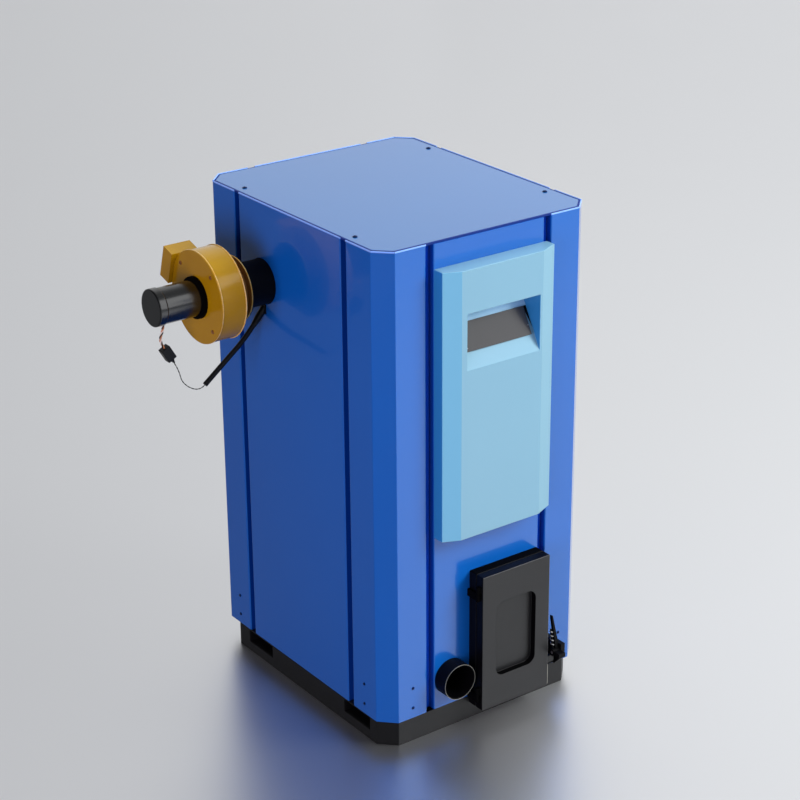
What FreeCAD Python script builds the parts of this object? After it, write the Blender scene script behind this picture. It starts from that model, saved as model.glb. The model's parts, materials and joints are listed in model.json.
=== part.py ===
import FreeCAD, Part
import math
import os

V = FreeCAD.Vector

# Pellet boiler in millimetres: +Z up, the front faces -Y, the left side faces -X.
# The origin is on the floor, under the middle of the cabinet.

# Cabinet
cabinet_width = 580.0
cabinet_depth = 700.0
cabinet_height = 1200.0
plinth_height = 60.0
corner_chamfer = 37.0
sheet = 2.0
bend_radius = 3.0
post_front_face = 81.0
post_side_face = 91.0
groove_width = 20.0
groove_depth = 18.0
flange_lap = 3.0
rim_height = 3.0
cover_thickness = 4.0
cover_gap = 3.5

# Base
plinth_wall = 3.0
plinth_setback_right = 18.0
plinth_setback_rear = 40.0
fork_width = 104.0
fork_height = 32.0
fork_pitch = 412.0
fork_middle_y = -29.0
base_rail_width = 50.0
tray_thickness = 3.0
tray_corner = 15.0

# Moulded front fascia and display
fascia_bottom = 505.0
fascia_drop = 59.0
fascia_wall = 3.0
fascia_side_depth = 30.0
fascia_depth = 48.0
fascia_facet = 40.0
fascia_edge_radius = 2.0
recess_side_room = 51.0
recess_offset = 4.0
recess_below_top = 100.0
recess_height = 131.0
recess_depth = 58.0
recess_drop = 26.0
recess_margin = 2.0
display_side_room = 10.5
display_height = 66.0
display_thickness = 5.0
display_top_margin = 15.0
controller_width = 180.0
controller_height = 200.0
controller_depth = 22.0
controller_below_recess = 220.0

# Ash door, its frame and hinges
door_side_room = 106.0
door_height = 349.0
door_inset = 102.0
door_bottom = 42.0
door_thickness = 23.0
door_edge_radius = 3.0
frame_depth = 25.0
frame_border = 24.0
frame_sill = 30.0
sleeve_wall = 3.0
seal_thickness = 2.0
seal_width = 12.0
seal_inset = 6.0
baffle_gap = 6.0
baffle_thickness = 8.0
pocket_margin = 41.0
pocket_height = 193.0
pocket_bottom = 78.0
pocket_depth = 15.0
pocket_radius = 22.0
hinge_offset = 5.5
knuckle_radius = 5.0
knuckle_length = 18.0
knuckle_gap = 0.5
hinge_pin_radius = 2.6
running_clearance = 0.05
lower_hinge_rise = 22.0
upper_hinge_drop = 62.0
hinge_arm_thickness = 5.0
hinge_arm_gap = 2.0
hinge_plate_depth = 22.0

# Latch at the right of the door
latch_plate_offset = 26.0
latch_plate_thickness = 12.0
latch_plate_reach = 62.0
latch_plate_bottom = 86.0
latch_plate_top = 147.0
latch_plate_slant = 24.0
latch_foot_width = 22.0
latch_foot_top = 118.0
latch_foot_thickness = 3.0
latch_pivot_reach = 52.0
latch_pivot_height = 128.0
latch_pin_radius = 4.0
latch_head_radius = 7.0
latch_head_thickness = 3.0
latch_side_gap = 0.5
latch_hub_radius = 9.0
latch_hub_length = 19.5
latch_finger_length = 27.0
latch_finger_thickness = 11.0
latch_arm_height = 89.0
latch_arm_lean = 16.5
latch_arm_width = 9.5
latch_arm_thickness = 8.0
latch_arm_shoulder = 22.0
latch_tip_width = 3.0
latch_tip_inset = 9.0
catch_width = 22.0
catch_bottom = 100.0
catch_height = 17.0
catch_thickness = 9.0
catch_gap = 1.0
spring_inset = 4.6
spring_start = 15.0
spring_length = 40.0
spring_radius = 4.5
spring_rod_radius = 2.2
spring_rod_end = 3.0

# Fuel tube, firebox and water vessel
feed_radius = 44.0
feed_wall = 3.2
feed_inset = 47.0
feed_z = 134.0
feed_reach = 38.0
pass_clearance = 0.5
vessel_side_room = 75.0
vessel_wall = 4.0
vessel_front_gap = 32.0
vessel_rear_gap = 110.0
vessel_drop = 340.0
water_jacket = 35.0
firebox_wall = 5.0
firebox_rear_gap = 90.0
firebox_drop = 260.0
pot_width = 100.0
pot_front_gap = 48.0
pot_length = 140.0
pot_wall = 6.0
pot_height = 133.0
pot_floor = 18.0
grate_pot_gap = 5.0
grate_side_gap = 10.0
grate_front_gap = 18.0
grate_rear_gap = 10.0
grate_height = 131.0
grate_thickness = 8.0
grate_slots = 9
grate_slot_width = 10.0
grate_border = 25.0
pan_gap = 4.0
pan_front_gap = 18.0
pan_length = 360.0
pan_height = 60.0
pan_wall = 2.0
pan_handle_width = 70.0
pan_handle_depth = 12.0
pan_handle_height = 10.0
pan_handle_drop = 8.0
smoke_pass_margin = 20.0
smoke_pass_depth = 16.0
smoke_pass_pitch = 26.0
smoke_pass_wall = 3.0
smoke_box_margin = 15.0
smoke_box_depth = 142.0
smoke_box_height = 240.0
smoke_box_wall = 3.0

# Water connections at the rear
pipe_reach = 50.0
pipe_wall = 3.2
pipe_inset = 180.0
flow_radius = 16.85
flow_drop = 80.0
return_radius = 16.85
return_z = 180.0

# Draught fan on the left side, its axis along X
fan_inset = 39.0
fan_rise = 153.0
flue_radius = 53.0
flue_wall = 2.0
flue_reach = 71.0
flange_radius = 75.0
flange_thickness = 3.0
inlet_radius = 48.0
inlet_neck_radius = 60.0
inlet_neck_length = 33.0
volute_radius = 106.5
volute_width = 62.0
volute_wall = 2.0
cover_disc_thickness = 2.5
cover_disc_lip = 1.0
outlet_tilt = 17.0
neck_low = -23.0
neck_high = 47.5
neck_margin = 4.0
neck_end = 112.0
outlet_low = -27.0
outlet_high = 51.5
outlet_start = 103.5
outlet_end = 140.0
outlet_left_overhang = 13.0
outlet_right_inset = 7.0
outlet_wall = 2.5
outlet_drum_gap = 1.0
impeller_radius = 82.0
impeller_plate = 2.0
impeller_gap = 8.0
blade_count = 10
blade_thickness = 2.0
blade_inset = 2.0
hub_radius = 14.0
hub_length = 26.0
shaft_radius = 5.0
shaft_end_gap = 12.0
motor_ring_radius = 48.5
motor_ring_length = 10.0
motor_radius = 41.5
motor_length = 86.0
motor_cap_radius = 43.5
motor_cap_length = 21.0
shaft_passage_radius = 16.0
lead_boss_size = 8.0
lead_boss_drop = 4.0
lead_boss_inset = 7.0

# Fan cable: places as (X, Z) from the left panel and the fan's axis, in the axis's upright plane
gland_drop = 66.0
gland_size = 22.0
gland_thickness = 3.0
boot_radius = 8.5
boot_length = 24.0
boot_slope = 50.0
cable_radius = 6.0
lead_radius = 1.3
motor_lead_radius = 3.2
bend_share = 0.45
cord_sides = 8
cable_first_run = 55.0
cable_bend = (-107.0, -169.0)
cable_end = (-164.0, -214.0)
lead_first_run = 20.0
lead_bend = (-222.0, -198.0)
lead_last_run = 22.0
connector_place = (-256.0, -115.0)
connector_length = 35.0
connector_width = 23.0
connector_depth = 18.0
connector_slope = 60.0
connector_edge_radius = 2.0
connector_boot_length = 12.0
connector_boot_radius = 5.0
motor_lead_rise = 22.0
motor_lead_drop = 10.0

# Places worked out from the sizes above
left = -cabinet_width / 2
right = cabinet_width / 2
front = -cabinet_depth / 2
rear = cabinet_depth / 2
front_half = right - corner_chamfer - post_front_face - groove_width
side_half = rear - corner_chamfer - post_side_face - groove_width
panel_top = cabinet_height - rim_height
cover_inset = sheet + cover_gap
inner_left = left + groove_depth + sheet
inner_front = front + groove_depth + sheet
tray_top = plinth_height + tray_thickness
plinth_right = right - plinth_setback_right
plinth_rear = rear - plinth_setback_rear
fork_places = [fork_middle_y - fork_pitch / 2, fork_middle_y + fork_pitch / 2]

fascia_top = cabinet_height - fascia_drop
fascia_face = front - fascia_depth
recess_width = 2 * (front_half - recess_side_room)
recess_top = fascia_top - recess_below_top
recess_bottom = recess_top - recess_height
recess_back = fascia_face + recess_depth
recess_inner_top = recess_top - recess_drop
display_width = recess_width - 2 * display_side_room
controller_bottom = recess_bottom - controller_below_recess

door_left = -front_half + door_inset
door_width = 2 * front_half - door_side_room
door_right = door_left + door_width
pocket_width = door_width - 2 * pocket_margin
door_top = door_bottom + door_height
frame_face = front - frame_depth
leaf_back = frame_face - seal_thickness
leaf_face = leaf_back - door_thickness
throat_left = door_left + frame_border
throat_right = door_right - frame_border
throat_bottom = door_bottom + frame_sill
throat_top = door_top - frame_border
hinge_x = door_left - hinge_offset
hinge_y = (leaf_back + leaf_face) / 2
hinge_places = [door_bottom + lower_hinge_rise, door_top - upper_hinge_drop]

latch_plate_left = front_half + latch_plate_offset
latch_y = front - latch_pivot_reach
latch_hub_right = latch_plate_left - latch_side_gap
latch_hub_left = latch_hub_right - latch_hub_length
latch_arm_way = V(0, latch_arm_lean, latch_arm_height)
spring_x = latch_hub_left + spring_inset
catch_face = latch_y + latch_finger_thickness / 2 + catch_gap

vessel_front = front + vessel_front_gap
vessel_back = rear - vessel_rear_gap
vessel_width = cabinet_width - 2 * vessel_side_room
vessel_top = cabinet_height - vessel_drop
vessel_half = vessel_width / 2
firebox_width = vessel_width - 2 * water_jacket
firebox_top = vessel_top - firebox_drop
firebox_back = vessel_back - firebox_rear_gap
fan_y = firebox_back - fan_inset
pot_front = vessel_front + pot_front_gap
grate_front = vessel_front + grate_front_gap
grate_back = firebox_back - grate_rear_gap
pan_front = vessel_front + pan_front_gap
pan_back = pan_front + pan_length
firebox_half = firebox_width / 2
front_plate = vessel_front - vessel_wall
firebox_floor = tray_top + vessel_wall
ash_floor = firebox_floor + firebox_wall
smoke_pass_places = [fan_y - smoke_pass_pitch, fan_y, fan_y + smoke_pass_pitch]
feed_bore = feed_radius - feed_wall
feed_x = -front_half + feed_inset
grate_left = feed_x + pot_width / 2 + grate_pot_gap
grate_right = firebox_half - grate_side_gap
smoke_pass_width = firebox_width - 2 * smoke_pass_margin
smoke_box_width = vessel_width - 2 * smoke_box_margin
pipe_x = right - pipe_inset
flow_z = vessel_top - flow_drop

fan_z = vessel_top + fan_rise
gland_z = fan_z - gland_drop
flue_start = -smoke_box_width / 2
flue_bore = flue_radius - flue_wall
flue_end = left - flue_reach
inlet_x = flue_end - flange_thickness
neck_x = inlet_x - flange_thickness
volute_right = neck_x - inlet_neck_length
volute_left = volute_right - volute_width
cover_x = volute_left - cover_disc_thickness
motor_x = cover_x - motor_ring_length
motor_cap_x = motor_x - motor_length
motor_end = motor_cap_x - motor_cap_length


# Shape helpers
def box(low, high):
    """Block between two corner points."""
    size = [b - a for a, b in zip(low, high)]
    return Part.makeBox(*size, V(*low))


def rod(radius, start, end):
    """Cylinder between two points."""
    axis = V(*end) - V(*start)
    return Part.makeCylinder(radius, axis.Length, V(*start), axis)


def tube(outer, inner, start, end):
    """Pipe between two points."""
    return rod(outer, start, end).cut(rod(inner, start, end))


def corner_arc(before, corner, after, radius):
    """Start, middle and end of the tangent arc that rounds a corner."""
    to_before = (before - corner).normalize()
    to_after = (after - corner).normalize()
    half = to_before.getAngle(to_after) / 2
    trim = radius / math.tan(half)
    reach = radius / math.sin(half) - radius
    middle = (to_before + to_after).normalize()
    return corner + to_before * trim, corner + middle * reach, corner + to_after * trim


def rounded_wire(points, radii, closed):
    """Straight runs through points with tangent arcs; a zero radius keeps a corner sharp."""
    count = len(points)
    corners = []
    for i, point in enumerate(points):
        if radii[i] > 0:
            corners.append(corner_arc(points[i - 1], point, points[(i + 1) % count], radii[i]))
        else:
            corners.append((point,))
    edges = []
    for i, corner in enumerate(corners):
        if len(corner) > 1:
            edges.append(Part.Arc(*corner).toShape())
        if closed or i < count - 1:
            edges.append(Part.makeLine(corner[-1], corners[(i + 1) % count][0]))
    return Part.Wire(edges)


def prism(points, way, radius=0.0):
    """Closed outline, its corners rounded, pushed along a way."""
    outline = rounded_wire([V(*p) for p in points], [radius] * len(points), True)
    return Part.Face(outline).extrude(V(*way))


def octagon(x_low, x_high, y_low, y_high, cut, z):
    """Plan points of a rectangle with cut corners."""
    return [
        (x_low + cut, y_low, z), (x_high - cut, y_low, z),
        (x_high, y_low + cut, z), (x_high, y_high - cut, z),
        (x_high - cut, y_high, z), (x_low + cut, y_high, z),
        (x_low, y_high - cut, z), (x_low, y_low + cut, z),
    ]


def inset_octagon(inset, z):
    """Plan of the cabinet moved in from its outside by an inset."""
    cut = corner_chamfer - inset * (2 - math.sqrt(2))
    return octagon(left + inset, right - inset, front + inset, rear - inset, cut, z)


def folded_sheet(points, low, high):
    """Sheet folded along plan points, its thickness to the right of their run, outer bends rounded."""
    near = [V(x, y, low) for x, y in points]
    runs = [(b - a).normalize() for a, b in zip(near, near[1:])]
    far = []
    radii = []
    for i, point in enumerate(near):
        run_in = runs[max(i - 1, 0)]
        run_out = runs[min(i, len(runs) - 1)]
        side_in = V(run_in.y, -run_in.x, 0)
        side_out = V(run_out.y, -run_out.x, 0)
        far.append(point + (side_in + side_out) * (sheet / (1 + side_in.dot(side_out))))
        radii.append(bend_radius if run_in.cross(run_out).z < 0 else 0)
    outline = rounded_wire(near + far[::-1], radii + [0] * len(far), True)
    return Part.Face(outline).extrude(V(0, 0, high - low))


def mirrored_x(shape):
    """Shape reflected from left to right."""
    return shape.mirror(V(0, 0, 0), V(1, 0, 0))


def mirrored_y(shape):
    """Shape reflected from front to rear."""
    return shape.mirror(V(0, 0, 0), V(0, 1, 0))


def turned(shape, degrees):
    """Shape turned about the upright axis through the origin."""
    return shape.rotated(V(0, 0, 0), V(0, 0, 1), degrees)


def vertical_edges(shape):
    """Straight upright edges of a shape."""
    edges = []
    for edge in shape.Edges:
        step = edge.Vertexes[-1].Point - edge.Vertexes[0].Point
        if abs(step.z) > math.hypot(step.x, step.y):
            edges.append(edge)
    return edges


def on_fan(x):
    """Point of the fan's axis."""
    return (x, fan_y, fan_z)


def disc(radius, x_from, x_to):
    """Round piece on the fan's axis."""
    return rod(radius, on_fan(x_from), on_fan(x_to))


def in_outlet(low, high):
    """Block in the fan outlet's tilted frame: X, then reach and rise from the axis."""
    block = box((low[0], fan_y + low[1], fan_z + low[2]), (high[0], fan_y + high[1], fan_z + high[2]))
    return block.rotated(V(0, fan_y, fan_z), V(1, 0, 0), outlet_tilt)


# Base
def plinth_skirt():
    """Octagonal ring on the floor with fork slots in its left and right walls."""
    outer = prism(octagon(left, plinth_right, front, plinth_rear, corner_chamfer, 0), (0, 0, plinth_height))
    inner_cut = corner_chamfer - plinth_wall * (2 - math.sqrt(2))
    inner = prism(octagon(left + plinth_wall, plinth_right - plinth_wall, front + plinth_wall,
                          plinth_rear - plinth_wall, inner_cut, 0), (0, 0, plinth_height))
    ring = outer.cut(inner)
    for y in fork_places:
        ring = ring.cut(fork_hollow(y))
    return ring


def fork_hollow(y):
    """Space of one fork slot, through the whole width."""
    top = plinth_height - plinth_wall
    return box((left, y - fork_width / 2, top - fork_height), (plinth_right, y + fork_width / 2, top))


def fork_channel(y):
    """Rectangular tube that lines one fork slot."""
    half = fork_width / 2 + plinth_wall
    bottom = plinth_height - fork_height - 2 * plinth_wall
    block = box((left + plinth_wall, y - half, bottom), (plinth_right - plinth_wall, y + half, plinth_height))
    return block.cut(fork_hollow(y))


def base_rail():
    """Rectangular tube across the middle of the base, standing on the floor."""
    half = base_rail_width / 2
    x_low = left + plinth_wall
    x_high = plinth_right - plinth_wall
    block = box((x_low, -half, 0), (x_high, half, plinth_height))
    inner = half - plinth_wall
    return block.cut(box((x_low, -inner, plinth_wall), (x_high, inner, plinth_height - plinth_wall)))


def floor_tray():
    """Cabinet floor on the plinth."""
    outline = octagon(inner_left, -inner_left, inner_front, -inner_front, tray_corner, plinth_height)
    return prism(outline, (0, 0, tray_thickness))


# Cabinet
def corner_post():
    """Front left post: a folded sheet whose flanges floor the grooves, with a cap under the cover."""
    groove_x = -front_half - groove_width
    groove_y = -side_half - groove_width
    points = [
        (-front_half + flange_lap, front + groove_depth),
        (groove_x, front + groove_depth),
        (groove_x, front),
        (left + corner_chamfer, front),
        (left, front + corner_chamfer),
        (left, groove_y),
        (left + groove_depth, groove_y),
        (left + groove_depth, -side_half + flange_lap),
    ]
    post = folded_sheet(points, plinth_height, cabinet_height)
    cap_outline = [
        (groove_x - sheet / 2, front + sheet / 2, panel_top - sheet),
        (left + corner_chamfer, front + sheet / 2, panel_top - sheet),
        (left + sheet / 2, front + corner_chamfer, panel_top - sheet),
        (left + sheet / 2, groove_y - sheet / 2, panel_top - sheet),
        (inner_left, groove_y - sheet / 2, panel_top - sheet),
        (inner_left, inner_front, panel_top - sheet),
        (groove_x - sheet / 2, inner_front, panel_top - sheet),
    ]
    post = post.cut(prism(inset_octagon(sheet, panel_top), (0, 0, rim_height)))
    return post.fuse(prism(cap_outline, (0, 0, sheet))).removeSplitter()


def panel(half, face):
    """Flat panel facing the front, folded back along its sides and top."""
    points = [(half, face + groove_depth), (half, face), (-half, face), (-half, face + groove_depth)]
    skin = folded_sheet(points, plinth_height, panel_top)
    flange_low = (-half + sheet / 2, face + sheet / 2, panel_top - sheet)
    flange_high = (half - sheet / 2, face + groove_depth, panel_top)
    return skin.fuse(box(flange_low, flange_high)).removeSplitter()


def front_panel():
    """Front panel with its holes for the display recess, the door sleeve and the feed tube."""
    half = recess_width / 2 + fascia_wall + recess_margin
    low = recess_line(front, recess_bottom) - fascia_wall * 2 - recess_margin
    high = recess_roof(front + sheet) + fascia_wall * 2 + recess_margin
    window = box((recess_offset - half, front, low), (recess_offset + half, front + sheet, high))
    gap = sleeve_wall + pass_clearance
    throat = box((throat_left - gap, front, throat_bottom - gap),
                 (throat_right + gap, front + sheet, throat_top + gap))
    feed = rod(feed_radius + pass_clearance, (feed_x, front, feed_z), (feed_x, front + sheet, feed_z))
    return panel(front_half, front).cut(window).cut(throat).cut(feed)


def side_panel_left():
    """Left panel with the flue's hole."""
    hole = disc(flue_radius + pass_clearance, left, left + sheet)
    return turned(panel(side_half, left), -90).cut(hole)


def side_panel_right():
    """Right panel, plain."""
    return turned(panel(side_half, left), 90)


def rear_panel():
    """Rear panel with holes for the water pipes."""
    skin = turned(panel(front_half, front), 180)
    for radius, x, z in water_pipes.values():
        skin = skin.cut(rod(radius + pass_clearance, (x, rear - sheet, z), (x, rear, z)))
    return skin


def top_cover():
    """Octagonal cover plate inside the posts' rims."""
    return prism(inset_octagon(cover_inset, panel_top), (0, 0, cover_thickness))


# Fascia and display
def recess_line(y, z_front):
    """Height of the display slope at a depth, from its front edge's height."""
    rise = (recess_inner_top - recess_bottom) / recess_depth
    return z_front + (y - fascia_face) * rise


def recess_roof(y):
    """Height of the recess's roof at a depth."""
    return recess_top - (y - fascia_face) * recess_drop / recess_depth


def fascia_outline(inset, z):
    """Plan of the fascia, moved in from its outside by an inset."""
    half = front_half - inset
    shoulder = front - fascia_side_depth + inset
    face = fascia_face + inset
    flat = front_half - fascia_facet - inset / 2
    return [(-half, front, z), (-half, shoulder, z), (-flat, face, z), (flat, face, z), (half, shoulder, z),
            (half, front, z)]


def front_fascia():
    """Moulded cover with a wedge-shaped display recess."""
    shell = prism(fascia_outline(0, fascia_bottom), (0, 0, fascia_top - fascia_bottom))
    front_edges = [e for e in vertical_edges(shell) if e.CenterOfMass.y < front]
    shell = shell.makeFillet(fascia_edge_radius, front_edges)
    hollow_height = fascia_top - fascia_bottom - 2 * fascia_wall
    shell = shell.cut(prism(fascia_outline(fascia_wall, fascia_bottom + fascia_wall), (0, 0, hollow_height)))
    recess_left = recess_offset - recess_width / 2
    wrap_left = recess_left - fascia_wall
    steep = fascia_wall * 2
    wrap_low = recess_bottom - steep
    wrap_high = recess_top + steep
    wrap = prism([(wrap_left, fascia_face, wrap_low), (wrap_left, fascia_face, wrap_high),
                  (wrap_left, recess_back + fascia_wall, recess_inner_top + fascia_wall),
                  (wrap_left, recess_back + fascia_wall, recess_inner_top - fascia_wall)],
                 (recess_width + 2 * fascia_wall, 0, 0))
    pocket = prism([(recess_left, fascia_face, recess_bottom), (recess_left, fascia_face, recess_top),
                    (recess_left, recess_back, recess_inner_top)], (recess_width, 0, 0))
    return shell.fuse(wrap).cut(pocket)


def display_panel():
    """Grey operating panel on the recess's slope."""
    display_left = recess_offset - display_width / 2
    slope_top = V(display_left, recess_back, recess_inner_top)
    slope_bottom = V(display_left, fascia_face, recess_bottom)
    down = (slope_bottom - slope_top).normalize()
    out = V(0, down.z, -down.y)
    start = slope_top + down * display_top_margin
    points = [start, start + down * display_height]
    points += [points[1] + out * display_thickness, start + out * display_thickness]
    return prism(points, (display_width, 0, 0))


def controller_box():
    """Closed electronics box behind the front panel, under the display."""
    half = controller_width / 2
    back = front + sheet
    return box((-half, back, controller_bottom),
               (half, back + controller_depth, controller_bottom + controller_height))


# Ash door
def upright_plate(x_low, x_high, z_low, z_high, y, depth, radius):
    """Plate parallel to the front with rounded corners."""
    outline = [(x_low, y, z_low), (x_high, y, z_low), (x_high, y, z_high), (x_low, y, z_high)]
    return prism(outline, (0, depth, 0), radius)


def door_frame():
    """Deep collar on the front with a sleeve that reaches the firebox."""
    collar = upright_plate(door_left, door_right, door_bottom, door_top, frame_face, frame_depth,
                           door_edge_radius)
    sleeve = box((throat_left - sleeve_wall, front, throat_bottom - sleeve_wall),
                 (throat_right + sleeve_wall, front_plate, throat_top + sleeve_wall))
    throat = box((throat_left, frame_face, throat_bottom), (throat_right, front_plate, throat_top))
    return collar.fuse(sleeve).cut(throat)


def ash_door():
    """Leaf with a stamped pocket and hinge knuckles on its left."""
    leaf = upright_plate(door_left, door_right, door_bottom, door_top, leaf_face, door_thickness,
                         door_edge_radius)
    middle = (door_left + door_right) / 2
    low = door_bottom + pocket_bottom
    pocket = upright_plate(middle - pocket_width / 2, middle + pocket_width / 2, low, low + pocket_height,
                           leaf_face, pocket_depth, pocket_radius)
    leaf = leaf.cut(pocket)
    for z in hinge_places:
        low = z + knuckle_length + knuckle_gap
        high = low + knuckle_length
        web = box((hinge_x, hinge_y - knuckle_radius, low), (door_left, hinge_y + knuckle_radius, high))
        leaf = leaf.fuse(web).fuse(rod(knuckle_radius, (hinge_x, hinge_y, low), (hinge_x, hinge_y, high)))
        bore = rod(hinge_pin_radius + running_clearance, (hinge_x, hinge_y, low), (hinge_x, hinge_y, high))
        leaf = leaf.cut(bore)
    return leaf.removeSplitter()


def door_catch():
    """Block on the leaf's right edge that the lever's finger holds."""
    return box((door_right, catch_face, catch_bottom),
               (door_right + catch_width, catch_face + catch_thickness, catch_bottom + catch_height))


def seal_ring(inset):
    """Outline block of the door seal at an inset from the leaf's edge."""
    return upright_plate(door_left + inset, door_right - inset, door_bottom + inset, door_top - inset,
                         leaf_back, seal_thickness, 0)


def door_seal():
    """Flat rope seal on the leaf's back."""
    return seal_ring(seal_inset).cut(seal_ring(seal_inset + seal_width))


def door_baffle():
    """Heat shield on the leaf's back, inside the frame."""
    return box((throat_left + baffle_gap, leaf_back, throat_bottom + baffle_gap),
               (throat_right - baffle_gap, leaf_back + baffle_thickness, throat_top - baffle_gap))


def hinge_brackets():
    """Fixed halves of the hinges: a knuckle on an arm from the frame's side, twice."""
    arm_right = door_left - hinge_arm_gap
    arm_left = arm_right - hinge_arm_thickness
    plate_front = frame_face + hinge_arm_gap
    plate_back = plate_front + hinge_plate_depth
    brackets = []
    for z in hinge_places:
        high = z + knuckle_length
        arm = box((arm_left, hinge_y, z), (arm_right, plate_back, high))
        plate = box((arm_left, plate_front, z), (door_left, plate_back, high))
        knuckle = rod(knuckle_radius, (hinge_x, hinge_y, z), (hinge_x, hinge_y, high))
        bore = rod(hinge_pin_radius, (hinge_x, hinge_y, z), (hinge_x, hinge_y, high))
        brackets.append(arm.fuse(plate).fuse(knuckle).cut(bore).removeSplitter())
    return Part.makeCompound(brackets)


def hinge_pins():
    """Pins pressed into the brackets, on which the door turns and lifts off."""
    pins = []
    for z in hinge_places:
        top = z + 2 * knuckle_length + knuckle_gap
        pins.append(rod(hinge_pin_radius, (hinge_x, hinge_y, z), (hinge_x, hinge_y, top)))
    return Part.makeCompound(pins)


# Latch
def latch_point(x):
    """Point of the latch's pivot axis."""
    return (x, latch_y, latch_pivot_height)


def latch_bracket():
    """Plate standing out of the right post, with a foot and the pivot's hole."""
    x_high = latch_plate_left + latch_plate_thickness
    tip = front - latch_plate_reach
    side = [(front, latch_plate_bottom), (front, latch_plate_top), (tip, latch_plate_top),
            (tip, latch_plate_bottom + latch_plate_slant), (tip + latch_plate_slant, latch_plate_bottom)]
    plate = prism([(latch_plate_left, y, z) for y, z in side], (latch_plate_thickness, 0, 0))
    foot = box((x_high, front - latch_foot_thickness, latch_plate_bottom),
               (x_high + latch_foot_width, front, latch_foot_top))
    bore = rod(latch_pin_radius, latch_point(latch_plate_left), latch_point(x_high))
    return plate.fuse(foot).cut(bore).removeSplitter()


def latch_pin():
    """Pivot of the lever with a head on the bracket's outer face."""
    x_high = latch_plate_left + latch_plate_thickness
    pin = rod(latch_pin_radius, latch_point(latch_hub_left), latch_point(x_high))
    return pin.fuse(rod(latch_head_radius, latch_point(x_high), latch_point(x_high + latch_head_thickness)))


def along_arm(x, distance):
    """Point at a distance from the pivot's axis, on the lever's slope."""
    return V(*latch_point(x)) + V(latch_arm_way).normalize() * distance


def latch_lever():
    """Hub with the holding finger, a flat tapered arm and the guide rod of the spring."""
    hub = rod(latch_hub_radius, latch_point(latch_hub_left), latch_point(latch_hub_right))
    half = latch_finger_thickness / 2
    finger = box((latch_hub_left, latch_y - latch_finger_length, latch_pivot_height - half),
                 (latch_hub_right, latch_y, latch_pivot_height + half))
    arm_left = latch_hub_right - latch_arm_width
    tip_right = latch_hub_right - latch_tip_inset + latch_tip_width / 2
    reach = latch_arm_way.Length
    outline = [(latch_hub_right, 0), (latch_hub_right, latch_arm_shoulder), (tip_right, reach),
               (tip_right - latch_tip_width, reach), (arm_left, latch_arm_shoulder), (arm_left, 0)]
    through = V(0, latch_arm_way.z, -latch_arm_way.y).normalize() * latch_arm_thickness
    arm = prism([along_arm(x, distance) - through / 2 for x, distance in outline], through)
    rod_end = spring_start + spring_length + spring_rod_end
    guide = rod(spring_rod_radius, along_arm(spring_x, 0), along_arm(spring_x, rod_end))
    bore_radius = latch_pin_radius + running_clearance
    bore = rod(bore_radius, latch_point(latch_hub_left), latch_point(latch_hub_right))
    return hub.fuse(finger).fuse(arm).fuse(guide).cut(bore).removeSplitter()


def latch_spring():
    """Plain sleeve in the place of the wound spring on the lever's guide rod."""
    return tube(spring_radius, spring_rod_radius, along_arm(spring_x, spring_start),
                along_arm(spring_x, spring_start + spring_length))


# Firebox and water vessel
def smoke_pass(y, inset, low, high):
    """Block of one smoke pass at an inset from its outside, between two heights."""
    half_width = smoke_pass_width / 2 - inset
    half_depth = smoke_pass_depth / 2 - inset
    return box((-half_width, y - half_depth, low), (half_width, y + half_depth, high))


def boiler_shell():
    """Outer wall of the water vessel, open at the front."""
    shell = box((-vessel_half, vessel_front, tray_top), (vessel_half, vessel_back, vessel_top))
    inner = vessel_half - vessel_wall
    shell = shell.cut(box((-inner, vessel_front, tray_top + vessel_wall),
                          (inner, vessel_back - vessel_wall, vessel_top - vessel_wall)))
    for y in smoke_pass_places:
        shell = shell.cut(smoke_pass(y, smoke_pass_wall, vessel_top - vessel_wall, vessel_top))
    for radius, x, z in water_pipes.values():
        hole = radius - pipe_wall + pass_clearance
        shell = shell.cut(rod(hole, (x, vessel_back - vessel_wall, z), (x, vessel_back, z)))
    return shell


def firebox():
    """Inner chamber with the vessel's front plate, the door throat and the feed hole."""
    walls = box((-firebox_half, vessel_front, firebox_floor), (firebox_half, firebox_back, firebox_top))
    plate = box((-vessel_half, front_plate, tray_top), (vessel_half, vessel_front, vessel_top))
    inner = firebox_half - firebox_wall
    chamber = box((-inner, vessel_front, ash_floor),
                  (inner, firebox_back - firebox_wall, firebox_top - firebox_wall))
    throat = box((throat_left, front_plate, throat_bottom), (throat_right, vessel_front, throat_top))
    feed = rod(feed_radius + pass_clearance, (feed_x, front_plate, feed_z), (feed_x, vessel_front, feed_z))
    body = walls.fuse(plate).cut(chamber).cut(throat).cut(feed)
    for y in smoke_pass_places:
        body = body.cut(smoke_pass(y, smoke_pass_wall, firebox_top - firebox_wall, firebox_top))
    return body.removeSplitter()


def smoke_passes():
    """Flat smoke passes from the firebox up through the water."""
    high = vessel_top - vessel_wall
    ducts = []
    for y in smoke_pass_places:
        duct = smoke_pass(y, 0, firebox_top, high)
        ducts.append(duct.cut(smoke_pass(y, smoke_pass_wall, firebox_top, high)))
    return Part.makeCompound(ducts)


def smoke_box():
    """Box over the smoke passes, open below, with the flue's hole."""
    half = smoke_box_width / 2
    y_low = fan_y - smoke_box_depth / 2
    y_high = fan_y + smoke_box_depth / 2
    top = vessel_top + smoke_box_height
    body = box((-half, y_low, vessel_top), (half, y_high, top))
    body = body.cut(box((-half + smoke_box_wall, y_low + smoke_box_wall, vessel_top),
                        (half - smoke_box_wall, y_high - smoke_box_wall, top - smoke_box_wall)))
    return body.cut(disc(flue_bore, flue_start, flue_start + smoke_box_wall))


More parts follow.
